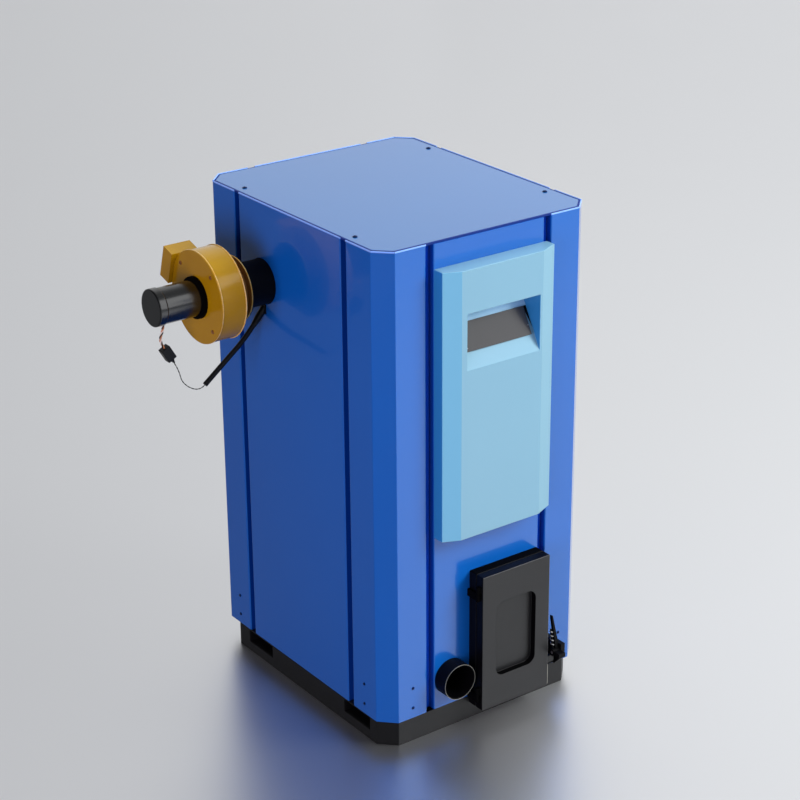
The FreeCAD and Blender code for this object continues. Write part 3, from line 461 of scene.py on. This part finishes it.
def floor():
    """Wide pale floor with a soft mirror image, duller towards the picture's right."""
    mesh = bpy.data.meshes.new("floor")
    corners = [(x * FLOOR_REACH, y * FLOOR_REACH, 0) for x, y in ((-1, -1), (1, -1), (1, 1), (-1, 1))]
    mesh.from_pydata(corners, [], [(0, 1, 2, 3)])
    f = material("floor")
    place = f.place()
    grain = f.noise(place, scale=3, detail=3)
    dull = f.spread(f.along(place, PICTURE_RIGHT), 0.06, 0.34)
    base = f.mix(grain, (0.755, 0.765, 0.785, 1), (0.775, 0.785, 0.805, 1))
    metal = 0.95 - dull * 0.09
    mesh.materials.append(f.shade(Base_Color=base, Metallic=metal, Roughness=0.34 + grain * 0.04))
    linked("floor", mesh)


def studio():
    camera()
    world_light()
    softbox("front_softbox", (2.7, -4.1, 3.2), CABINET_MIDDLE, 5.0, 96, mirrored=True)
    softbox("right_softbox", (2.9, -3.1, 3.0), CABINET_MIDDLE, 2.0, 224, tint=(1.0, 1.05, 1.0))
    softbox("left_softbox", (-3.5, -1.7, 1.05), CABINET_MIDDLE, 2.0, 93, tint=(1.0, 0.80, 1.0))
    softbox("top_softbox", (0.7, 0.2, 4.4), COVER_MIDDLE, 2.6, 90)
    floor()
    bpy.context.scene.view_settings.view_transform = "Standard"


# Shapes
def smooth(mesh, degrees):
    mesh.shade_smooth()
    mesh.set_sharp_from_angle(angle=math.radians(degrees))


def finished(work, name, degrees):
    """Mesh of a bmesh with its normals outward and its sharp edges kept."""
    bmesh.ops.recalc_face_normals(work, faces=work.faces)
    mesh = bpy.data.meshes.new(name)
    work.to_mesh(mesh)
    work.free()
    smooth(mesh, degrees)
    return mesh


def plain_mesh(made):
    """Mesh of an object as its modifiers or its curve shape it."""
    return bpy.data.meshes.new_from_object(made.evaluated_get(bpy.context.evaluated_depsgraph_get()))


def settled(made):
    """Turn an object's modifiers into plain mesh."""
    mesh = plain_mesh(made)
    made.modifiers.clear()
    made.data = mesh


def around(steps):
    """Angles of a full turn in equal steps."""
    return [2 * math.pi * i / steps for i in range(steps)]


def sides(loop):
    """Neighbours of a closed loop, in pairs."""
    return list(zip(loop, loop[1:] + loop[:1]))


def bridge(work, first, second):
    """Faces between two closed loops with the same number of points."""
    return [work.faces.new((a, b, d, c)) for (a, b), (c, d) in zip(sides(first), sides(second))]


def lathe(name, profile, origin, way, steps=96, closed=False):
    """Mesh turned about a line from points of distance along it and radius."""
    ahead = Vector(way).normalized()
    side = ahead.orthogonal().normalized()
    lift = ahead.cross(side)
    spokes = [side * math.cos(angle) + lift * math.sin(angle) for angle in around(steps)]
    work = bmesh.new()
    rings = []
    for distance, radius in profile:
        middle = Vector(origin) + ahead * distance
        rings.append([work.verts.new(middle + spoke * radius) for spoke in spokes])
    for first, second in sides(rings) if closed else zip(rings, rings[1:]):
        bridge(work, first, second)
    if not closed:
        work.faces.new(rings[0])
        work.faces.new(rings[-1])
    return finished(work, name, 32)


def ring_profile(distance, radius, wire, steps=10):
    """Round wire section on a radius, for a rolled rim."""
    return [(distance + wire * math.cos(a), radius + wire * math.sin(a)) for a in around(steps)]


def slab(name, low, high):
    """Closed mesh between two loops with the same number of points."""
    work = bmesh.new()
    rings = [[work.verts.new(spot) for spot in loop] for loop in (low, high)]
    for ring in rings:
        work.faces.new(ring)
    bridge(work, *rings)
    return finished(work, name, 30)


def tube_curve(name, radius, rounding):
    """Empty curve with a round section."""
    curve = bpy.data.curves.new(name, "CURVE")
    curve.dimensions = "3D"
    curve.bevel_depth = radius
    curve.bevel_resolution = rounding
    curve.resolution_u = 24
    curve.use_fill_caps = True
    return curve


def add_line(curve, kind, spots):
    """Open line of a kind on a curve."""
    line = curve.splines.new(kind)
    line.points.add(len(spots) - 1)
    for point, spot in zip(line.points, spots):
        point.co = (*spot, 1)
    return line


# Pieces, with the usual widths of rounded edges in metres
FINE_EDGE = 0.0006
SHEET_EDGE = 0.0012


def held(made, body, slot):
    """Object that rides on a body; the slot is not used."""
    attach(made, body)
    return made


def piece(name, mesh, finishes, body, slot):
    """Object at the origin from a mesh and its finishes."""
    for finish in finishes:
        mesh.materials.append(finish)
    return held(linked(name, mesh), body, slot)


def dressed(node, width, segments=2, degrees=35):
    """Copy of a node with its faces joined up and its edges rounded, in the node's place."""
    same_spot, flat = 2e-6, math.radians(0.5)
    work = bmesh.new()
    work.from_mesh(frame["nodes"][node].data)
    bmesh.ops.remove_doubles(work, verts=work.verts, dist=same_spot)
    bmesh.ops.dissolve_limit(work, angle_limit=flat, verts=work.verts, edges=work.edges)
    mesh = bpy.data.meshes.new(node + "_dressed")
    work.to_mesh(mesh)
    work.free()
    smooth(mesh, 40)
    made = linked(node + "_dressed", mesh)
    edge = made.modifiers.new("edges", "BEVEL")
    edge.width = width
    edge.segments = segments
    edge.limit_method = "ANGLE"
    edge.angle_limit = math.radians(degrees)
    level = made.modifiers.new("normals", "WEIGHTED_NORMAL")
    level.keep_sharp = True
    settled(made)
    made.data.materials.clear()
    made.data.materials.append(finish_of(node))
    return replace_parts(held(made, node_body[node], node_slot[node]), node)


def shaded(made, finish, chosen):
    """Another finish on the faces that a test of their middle and normal picks."""
    made.data.materials.append(finish)
    last = len(made.data.materials) - 1
    for face in made.data.polygons:
        if chosen(face.center, face.normal):
            face.material_index = last


# Cords
SHEATH_ROUTE = ((-0.30543, 0.92861), (-0.34078, 0.88648), (-0.397, 0.844), (-0.454, 0.799))
LOW_ROUTE = ((-0.454, 0.799), (-0.4697, 0.78661), (-0.512, 0.815), (-0.52025, 0.8534), (-0.53125, 0.87245))
HIGH_ROUTE = ((-0.5535, 0.9675), (-0.5535, 0.9575), (-0.56575, 0.93221), (-0.55475, 0.91316))
SHEATH_RADIUS = 0.006
SHEATH_WAY = (-0.6428, 0, -0.766)
STRAND_STEPS = 10
SLEEVE_PROFILE = ((0, 0.0085), (0.004, 0.0085), (0.005, 0.0078), (0.009, 0.0081), (0.010, 0.0073),
                  (0.014, 0.0076), (0.015, 0.0069), (0.023, 0.0062))


def cord_line(name, route, radius, finish):
    """Round cord on a free curve by a route of X and Z in the fan's upright plane."""
    curve = tube_curve(name, radius, 5)
    line = add_line(curve, "NURBS", [(x, FAN_Y, z) for x, z in route])
    line.order_u = 3
    line.use_endpoint_u = True
    curve.materials.append(finish)
    return linked(name, curve)


def wire_bundle(name, route, offset, wire, turns, finishes):
    """Thin wires twisted round the line of a route, and the line's points."""
    guide = cord_line(name + "_line", route, 0, finishes[0])
    line = [vertex.co.copy() for vertex in plain_mesh(guide).vertices]
    bpy.data.objects.remove(guide)
    last = len(line) - 1
    out = Vector((0, 1, 0))
    work = bmesh.new()
    for strand in range(len(finishes)):
        rings = []
        for i, spot in enumerate(line):
            ahead = (line[min(i + 1, last)] - line[max(i - 1, 0)]).normalized()
            lift = ahead.cross(out)
            phase = 2 * math.pi * (turns * i / last + strand / len(finishes))
            core = spot + (out * math.cos(phase) + lift * math.sin(phase)) * offset
            spokes = [out * math.cos(a) + lift * math.sin(a) for a in around(STRAND_STEPS)]
            rings.append([work.verts.new(core + spoke * wire) for spoke in spokes])
        faces = [work.faces.new(rings[0]), work.faces.new(rings[-1])]
        for first, second in zip(rings, rings[1:]):
            faces += bridge(work, first, second)
        for face in faces:
            face.material_index = strand
    return piece(name, finished(work, name, 60), finishes, "cabinet", "cable_rubber"), line


def cords():
    """Sheathed cable, the thin leads to the connector and from there to the motor."""
    sheath = cord_line("cable_sheath", SHEATH_ROUTE, SHEATH_RADIUS, cable_skin)
    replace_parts(held(sheath, "cabinet", "cable_rubber"), "fan_cable")
    low_lead, low_line = wire_bundle("cable_lead", LOW_ROUTE, offset=0.0007, wire=0.0006, turns=6,
                                     finishes=(cable_skin, cable_skin))
    high_lead, high_line = wire_bundle("motor_lead", HIGH_ROUTE, offset=0.00172, wire=0.00148, turns=2.5,
                                       finishes=(lead_brown, cable_skin, lead_white))
    plug = dressed("lead_connector", SHEET_EDGE, 3)
    start = (SHEATH_ROUTE[0][0], FAN_Y, SHEATH_ROUTE[0][1])
    sleeve = lathe("cable_sleeve", SLEEVE_PROFILE, start, SHEATH_WAY, 40)
    piece("cable_sleeve", sleeve, [hard_plastic], "cabinet", "black_plastic")


# Dressed nodes, and how much of a face's normal lies along an axis that it is square, turned or slanted to
SQUARE = 0.9
TURNED = 0.5
SLANTED = 0.2


def in_groove(centre, normal):
    """True on the walls and floors of the posts' grooves, which lie under the posts' outer faces."""
    skin = 0.003
    deep = abs(centre.x) < RIGHT - skin and abs(centre.y) < REAR - skin
    return deep and max(abs(normal.x), abs(normal.y)) > SQUARE


def on_groove_floor(centre, normal):
    """True on the floors of the grooves at the front and rear."""
    outer = 0.2
    return in_groove(centre, normal) and abs(normal.y) > SQUARE and abs(centre.x) < outer


def cabinet():
    """Corner posts with their grooves in painted shade, panels and top cover."""
    for end in ("front", "rear"):
        for side in ("left", "right"):
            post = dressed(f"corner_post_{end}_{side}", SHEET_EDGE)
            # painted shade on the grooves' walls and floors
            shaded(post, groove_wall_shade, in_groove)
            shaded(post, groove_floor_shade, on_groove_floor)
    outer = 0.15
    for node in ("front_panel", "rear_panel"):
        # painted shade on the panels' upright edges, which form the grooves' walls
        shaded(dressed(node, SHEET_EDGE), groove_wall_shade, lambda c, n: abs(n.x) > SQUARE and abs(c.x) > outer)
    for node in ("side_panel_left", "side_panel_right"):
        # painted shade on the side panels' upright edges, which form the grooves' walls
        shaded(dressed(node, SHEET_EDGE), groove_wall_shade, lambda c, n: abs(n.y) > SQUARE and abs(c.y) > outer)
    dressed("top_cover", width=0.0015, segments=3)


def front_and_base():
    """Fascia, display, plinth and fork channels."""
    dressed("front_fascia", width=0.0016, segments=3, degrees=20)
    dressed("display_panel", FINE_EDGE)
    for node in ("plinth_skirt", "fork_channel_front", "fork_channel_rear"):
        dressed(node, width=0.0008)


def on_lit_edge(centre, normal):
    """True on the front bevels along the top and the right of the door's leaf, which get a painted
    highlight.
    """
    top_band, right_band = 0.006, 0.008
    top = normal.z > SLANTED and centre.z > LEAF_HIGH.z - top_band
    right = normal.x > SLANTED and centre.x > LEAF_HIGH.x - right_band
    return normal.y < -SLANTED and (top or right)


def in_pocket(centre, normal):
    """True on the walls of the leaf's stamped pocket, which get painted shade, and on its hinge eyes."""
    left, right, foot, top = -0.012, 0.110, 0.118, 0.315
    eye_edge = -0.0502
    stamped = left < centre.x < right and foot < centre.z < top
    return stamped and normal.y > -SQUARE or centre.x < eye_edge


def door_and_latch():
    """Door frame, leaf, hinges and catch, and the latch."""
    frame_piece = dressed("door_frame", width=0.0005)
    # painted shade: the frame's left-facing sides and its top take darker, duller blacks
    shaded(frame_piece, tube_black, lambda c, n: n.x < -TURNED)
    shaded(frame_piece, dull_black, lambda c, n: n.z > TURNED)
    leaf = dressed("ash_door", SHEET_EDGE)
    # painted highlight: light grey paint on the leaf's top and right front bevels
    shaded(leaf, leaf_edge_highlight, on_lit_edge)
    # painted shade: the leaf's left-facing side and its top take a darker, duller black
    shaded(leaf, tube_black, lambda c, n: n.x < -TURNED or n.z > SQUARE)
    # painted shade: dull black on the pocket's walls; the hinge eyes are plain dull black
    shaded(leaf, dull_black, in_pocket)
    for node in ("hinge_brackets", "hinge_pins", "door_catch", "latch_bracket", "latch_lever", "latch_pin"):
        dressed(node, FINE_EDGE)


def fan_and_tubes():
    """Fan casing, cover and outlet box, flue, feed tube, gland, ash pan and motor."""
    inlet, lean = DRUM_BACK + 0.0015, 0.3
    # painted shade: the inlet flange behind the drum is painted a darker brown
    shaded(dressed("fan_volute", FINE_EDGE), brown_screw_and_flange_shade, lambda c, n: c.x > inlet)
    dressed("fan_cover", FINE_EDGE)
    outlet = dressed("fan_outlet_box", width=0.0034, segments=3)
    # painted highlight: the outlet box's upward-facing bevels take the pale edge paint
    shaded(outlet, ochre_wear_and_highlight, lambda c, n: lean < abs(n.x) < SQUARE and n.z > lean)
    for node in ("flue_tube", "front_tube", "cable_gland", "ash_pan"):
        dressed(node, FINE_EDGE)
    shaded(dressed("motor_body", SHEET_EDGE), dull_black, lambda c, n: c.x > MOTOR_FOOT)
    dressed("motor_cap", width=0.0030, segments=4)


# Repeats
def repeat_tree(name, inputs):
    """Empty geometry node tree with named inputs, and its first and last node."""
    tree = bpy.data.node_groups.new(name, "GeometryNodeTree")
    for label, kind in inputs:
        tree.interface.new_socket(label, in_out="INPUT", socket_type="NodeSocket" + kind)
    tree.interface.new_socket("Result", in_out="OUTPUT", socket_type="NodeSocketGeometry")
    return tree, tree.nodes.new("NodeGroupInput"), tree.nodes.new("NodeGroupOutput")


def finish_tree(tree, start, end, shape):
    """Realise what a tree has made and give it its finish."""
    real = tree.nodes.new("GeometryNodeRealizeInstances")
    paint = tree.nodes.new("GeometryNodeSetMaterial")
    tree.links.new(shape, real.inputs["Geometry"])
    tree.links.new(real.outputs["Geometry"], paint.inputs["Geometry"])
    tree.links.new(start.outputs["Finish"], paint.inputs["Material"])
    tree.links.new(paint.outputs["Geometry"], end.inputs["Result"])
    return tree


def screw_tree():
    """A head on every point, turned to the point's own way and spun by as many radians as its number."""
    inputs = (("Places", "Geometry"), ("Head", "Object"), ("Size", "Float"), ("Finish", "Material"))
    tree, start, end = repeat_tree("screw_heads", inputs)
    head = tree.nodes.new("GeometryNodeObjectInfo")
    way = tree.nodes.new("GeometryNodeInputNamedAttribute")
    way.data_type = "FLOAT_VECTOR"
    way.inputs["Name"].default_value = "way"
    number = tree.nodes.new("GeometryNodeInputIndex")
    spin = tree.nodes.new("FunctionNodeAxisAngleToRotation")
    aim = tree.nodes.new("FunctionNodeAlignRotationToVector")
    aim.axis = "Z"
    both = tree.nodes.new("FunctionNodeRotateRotation")
    both.rotation_space = "LOCAL"
    put = tree.nodes.new("GeometryNodeInstanceOnPoints")
    join = tree.links.new
    join(start.outputs["Head"], head.inputs["Object"])
    join(way.outputs["Attribute"], aim.inputs["Vector"])
    join(number.outputs["Index"], spin.inputs["Angle"])
    join(aim.outputs["Rotation"], both.inputs["Rotation"])
    join(spin.outputs["Rotation"], both.inputs["Rotate By"])
    join(start.outputs["Places"], put.inputs["Points"])
    join(head.outputs["Geometry"], put.inputs["Instance"])
    join(both.outputs["Rotation"], put.inputs["Rotation"])
    join(start.outputs["Size"], put.inputs["Scale"])
    return finish_tree(tree, start, end, put.outputs["Instances"])


def coil_tree():
    """Round wire wound on an upright line, which is then tilted and moved to its foot."""
    inputs = (("Turns", "Float"), ("Coil radius", "Float"), ("Height", "Float"), ("Wire", "Float"),
              ("Foot", "Vector"), ("Tilt", "Vector"), ("Finish", "Material"))
    tree, start, end = repeat_tree("wound_wire", inputs)
    spiral = tree.nodes.new("GeometryNodeCurveSpiral")
    spiral.inputs["Resolution"].default_value = 28
    section = tree.nodes.new("GeometryNodeCurvePrimitiveCircle")
    section.inputs["Resolution"].default_value = 12
    sweep = tree.nodes.new("GeometryNodeCurveToMesh")
    sweep.inputs["Fill Caps"].default_value = True
    move = tree.nodes.new("GeometryNodeTransform")
    soft = tree.nodes.new("GeometryNodeSetShadeSmooth")
    join = tree.links.new
    join(start.outputs["Turns"], spiral.inputs["Rotations"])
    join(start.outputs["Coil radius"], spiral.inputs["Start Radius"])
    join(start.outputs["Coil radius"], spiral.inputs["End Radius"])
    join(start.outputs["Height"], spiral.inputs["Height"])
    join(start.outputs["Wire"], section.inputs["Radius"])
    join(spiral.outputs["Curve"], sweep.inputs["Curve"])
    join(section.outputs["Curve"], sweep.inputs["Profile Curve"])
    join(sweep.outputs["Mesh"], soft.inputs["Geometry"])
    join(soft.outputs["Geometry"], move.inputs["Geometry"])
    join(start.outputs["Foot"], move.inputs["Translation"])
    join(start.outputs["Tilt"], move.inputs["Rotation"])
    return finish_tree(tree, start, end, move.outputs["Geometry"])


def grown(name, mesh, tree, values, body, slot):
    """Piece that a tree makes from a mesh with the values of its inputs."""
    made = linked(name, mesh)
    grower = made.modifiers.new("grow", "NODES")
    grower.node_group = tree
    for item in tree.interface.items_tree:
        if item.in_out == "INPUT" and item.name in values:
            grower[item.identifier] = values[item.name]
    made.update_tag()
    settled(made)
    return held(made, body, slot)


# Screws
def screw_head():
    """Low rounded head of unit radius with a cross recess."""
    steps, crown, bottom, taper = 24, 0.45, 0.05, 0.7
    arm, half = 0.52, 0.13
    work = bmesh.new()
    rings = []
    for radius, height in ((1.0, -0.1), (1.0, 0.16), (0.86, 0.36), (0.66, crown)):
        spots = [(radius * math.cos(angle), radius * math.sin(angle), height) for angle in around(steps)]
        rings.append([work.verts.new(spot) for spot in spots])
    for first, second in zip(rings, rings[1:]):
        bridge(work, first, second)
    outline = []
    for quarter in range(4):
        angle = quarter * math.pi / 2
        c, s = round(math.cos(angle)), round(math.sin(angle))
        outline += [(u * c - v * s, u * s + v * c) for u, v in ((arm, -half), (arm, half), (half, half))]
    top = [work.verts.new((x, y, crown)) for x, y in outline]
    low = [work.verts.new((x * taper, y * taper, bottom)) for x, y in outline]
    rim = [work.edges.get(pair) for pair in sides(rings[-1])]
    cross = [work.edges.new(pair) for pair in sides(top)]
    bmesh.ops.triangle_fill(work, use_beauty=True, edges=rim + cross)
    bridge(work, top, low)
    work.faces.new(low)
    work.faces.new(rings[0])
    return linked("screw_head", finished(work, "screw_head", 35))


def screws(name, places, size, finish, slot):
    """Screw heads at points with the ways they face."""
    mesh = bpy.data.meshes.new(name)
    mesh.from_pydata([spot for spot, _ in places], [], [])
    way = mesh.attributes.new("way", "FLOAT_VECTOR", "POINT")
    for i, (_, facing) in enumerate(places):
        way.data[i].vector = facing
    values = {"Head": head, "Size": size, "Finish": finish}
    return grown(name, mesh, heads, values, "cabinet", slot)


def cabinet_screws():
    """Screws at the feet of the posts, two on each outer face, and four on the top cover."""
    heights = (0.138, 0.086)
    post_x, post_shift, post_y = 0.2165, 0.0045, 0.267
    cover_x, cover_y = 0.262, 0.219
    posts = []
    covers = []
    for side in (-1, 1):
        for end in (-1, 1):
            covers.append(((cover_x * side, cover_y * end, COVER_TOP), (0, 0, 1)))
            for height in heights:
                posts.append(((post_x * side + post_shift, REAR * end, height), (0, end, 0)))
                posts.append(((RIGHT * side, post_y * end, height), (side, 0, 0)))
    screws("cabinet_screws", posts, 0.0038, screw_navy, "blue_paint")
    screws("cover_screws", covers, 0.0056, screw_navy, "blue_paint")


def fan_screws():
    """Four screws on the fan's cover disc."""
    radius = 0.09
    places = []
    for quarter in range(4):
        angle = math.pi * (0.25 + 0.5 * quarter)
        y, z = FAN_Y + radius * math.cos(angle), FAN_Z + radius * math.sin(angle)
        places.append(((COVER_FACE, y, z), (-1, 0, 0)))
    screws("fan_cover_screws", places, 0.0048, brown_screw_and_flange_shade, "ochre_paint")


# Trim
def rims():
    """Rolled edges of the fan casing, its inlet flange and the feed tube; the fan's rims are in pale edge
    paint, partly wear and partly painted highlight.
    """
    drum_radius, flange_radius, tube_radius = 0.1068, 0.0752, 0.0434
    for name, x, radius, wire in (("drum_front_rim", DRUM_FRONT + 0.001, drum_radius, 0.0013),
                                  ("drum_back_rim", DRUM_BACK - 0.0008, drum_radius, 0.0014),
                                  ("inlet_flange_rim", FLANGE_EDGE, flange_radius, 0.0014)):
        ring = lathe(name, ring_profile(x, radius, wire), (0, FAN_Y, FAN_Z), (1, 0, 0), closed=True)
        piece(name, ring, [ochre_wear_and_highlight], "cabinet", "ochre_paint")
    mouth = (TUBE_X, TUBE_MOUTH, TUBE_Z)
    ring = lathe("feed_tube_rim", ring_profile(0, tube_radius, 0.0007), mouth, (0, -1, 0), closed=True)
    piece("feed_tube_rim", ring, [bare_edge_and_highlight], "cabinet", "black_paint")


def cover_seam():
    """Dark joint between the top cover and the posts' rims."""
    outer, inner = 0.0022, 0.0064
    low, lip, crest = COVER_FOOT, COVER_TOP - 0.0005, COVER_TOP + 0.0003
    work = bmesh.new()
    rings = []
    for inset, height in ((outer, low), (outer, lip), (inner, crest), (inner, low)):
        x, y = RIGHT - inset, REAR - inset
        cut = CORNER_CUT - inset * (2 - math.sqrt(2))
        half = [(x, y - cut), (x - cut, y), (cut - x, y), (-x, y - cut)]
        corners = half + [(-a, -b) for a, b in half]
        rings.append([work.verts.new((*corner, height)) for corner in corners])
    for first, second in sides(rings):
        bridge(work, first, second)
    piece("cover_seam", finished(work, "cover_seam", 30), [seam_navy], "cabinet", "blue_paint")


def display_details():
    """Dull-black slab as painted shade in the slit beside the display, and two small clips on it."""
    top = Vector((0, -0.34725, 1.00187))
    down = Vector((0, -0.4835, -0.8753))
    out = Vector((0, -0.8753, 0.4835))

    def spot(across, run, lift):
        return top + Vector((across, 0, 0)) + down * run + out * lift

    near, far, length = 0.0952, 0.1044, 0.050
    corners = ((near, 0.0), (far, 0.0), (far, length))
    low, high = [[spot(across, run, lift) for across, run in corners] for lift in (-0.001, 0.0005)]
    # painted shade: a dull-black slab where the slit beside the display lies in shadow
    piece("display_slit", slab("display_slit", low, high), [dull_black], "cabinet", "grey_display")
    clips = [(spot(across, run, 0.005), out) for across, run in ((-0.083, 0.058), (0.0915, 0.044))]
    screws("display_clips", clips, 0.0014, bright_steel, "grey_display")


def fascia_lip():
    """Flange that carries the fascia's right facet on towards the post."""
    inner, outer, back = FASCIA_HIGH.x - 0.0005, FASCIA_HIGH.x + 0.0075, -REAR - 0.0002
    outline = ((inner, -0.3802), (outer, -0.3766), (outer, back), (inner, back))
    heights = (FASCIA_LOW.z + 0.0005, FASCIA_HIGH.z - 0.0005)
    low, high = [[(x, y, z) for x, y in outline] for z in heights]
    finish = slot_finish["light_blue_plastic"]
    piece("fascia_lip", slab("fascia_lip", low, high), [finish], "cabinet", "light_blue_plastic")


def rim_beads():
    """Rolled edge along the tops of the posts, the side panels and the rear panel, in pale blue as a
    painted highlight.
    """
    radius, inset = 0.0019, 0.0012
    low, high = POST_TOP - 0.0012, POST_TOP + 0.0004
    side, end = RIGHT - inset, REAR - inset
    cut_x, cut_y = RIGHT - CORNER_CUT, REAR - CORNER_CUT
    post_x, post_y = PANEL_HALF_WIDTH + GROOVE_WIDTH, PANEL_HALF_DEPTH + GROOVE_WIDTH
    runs = []
    for hand, height in ((-1, low), (1, high)):
        for a, b in ((-cut_y, -post_y), (-PANEL_HALF_DEPTH, PANEL_HALF_DEPTH), (post_y, cut_y)):
            runs.append(((side * hand, a, height), (side * hand, b, height)))
        for face, level in ((-1, low), (1, high)):
            corner = (cut_x * hand, end * face, level)
            runs.append(((side * hand, cut_y * face, level), corner))
            runs.append((corner, (post_x * hand, end * face, level)))
    runs.append(((-PANEL_HALF_WIDTH, end, high), (PANEL_HALF_WIDTH, end, high)))
    curve = tube_curve("rim_line", radius, 3)
    for run in runs:
        add_line(curve, "POLY", run)
    guide = linked("rim_line", curve)
    mesh = plain_mesh(guide)
    bpy.data.objects.remove(guide)
    piece("rim_beads", mesh, [rim_highlight_blue], "cabinet", "blue_paint")


def door_edge():
    """Bare steel strip low at the right of the door's leaf, standing in as a painted highlight along that
    edge.
    """
    inner, outer = LEAF_HIGH.x - 0.0009, LEAF_HIGH.x + 0.0004
    front, back = LEAF_LOW.y - 0.0004, LEAF_LOW.y + 0.0015
    outline = ((inner, front), (outer, front), (outer, back), (inner, back))
    low, high = [[(x, y, z) for x, y in outline] for z in (LEAF_LOW.z + 0.004, LEAF_LOW.z + 0.056)]
    # painted highlight: bright steel strip in place of the light line on the leaf's edge
    piece("door_edge", slab("door_edge", low, high), [bare_edge_and_highlight], "door", "black_paint")


def latch_plate():
    """Foot plate of the latch bracket across the groove beside the door."""
    left, right, foot, top = 0.1487, 0.2050, 0.0615, 0.0980
    outline = ((left, foot), (right, foot), (right, top), (left, top))
    low, high = [[(x, y, z) for x, z in outline] for y in (-REAR - 0.0002, -REAR - 0.0016)]
    piece("latch_plate", slab("latch_plate", low, high), [tube_black], "cabinet", "black_paint")


def latch_spring():
    """Spring on the lever's guide rod, wound from the rod's foot along its slope."""
    rod_x, rise = 0.1626, 0.0165
    lean = math.atan2(16.5, 89)
    foot = (rod_x, LATCH_Y + rise * math.sin(lean), LATCH_Z + rise * math.cos(lean))
    values = {"Turns": 3.5, "Coil radius": 0.0034, "Height": 0.037, "Wire": 0.0015, "Finish": bright_steel,
              "Foot": foot, "Tilt": (-lean, 0, 0)}
    mesh = bpy.data.meshes.new("latch_spring_wire")
    made = grown("latch_spring_wire", mesh, coil_tree(), values, "latch", "bright_steel")
    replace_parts(made, "latch_spring")


# The whole boiler
studio()
cords()
cabinet()
front_and_base()
door_and_latch()
fan_and_tubes()
heads = screw_tree()
head = screw_head()
cabinet_screws()
fan_screws()
rims()
cover_seam()
display_details()
fascia_lip()
rim_beads()
door_edge()
latch_plate()
latch_spring()
bpy.data.objects.remove(head)

# Finishes of the nodes' own meshes
for name, node in frame["nodes"].items():
    node.data.materials.clear()
    node.data.materials.append(finish_of(name))
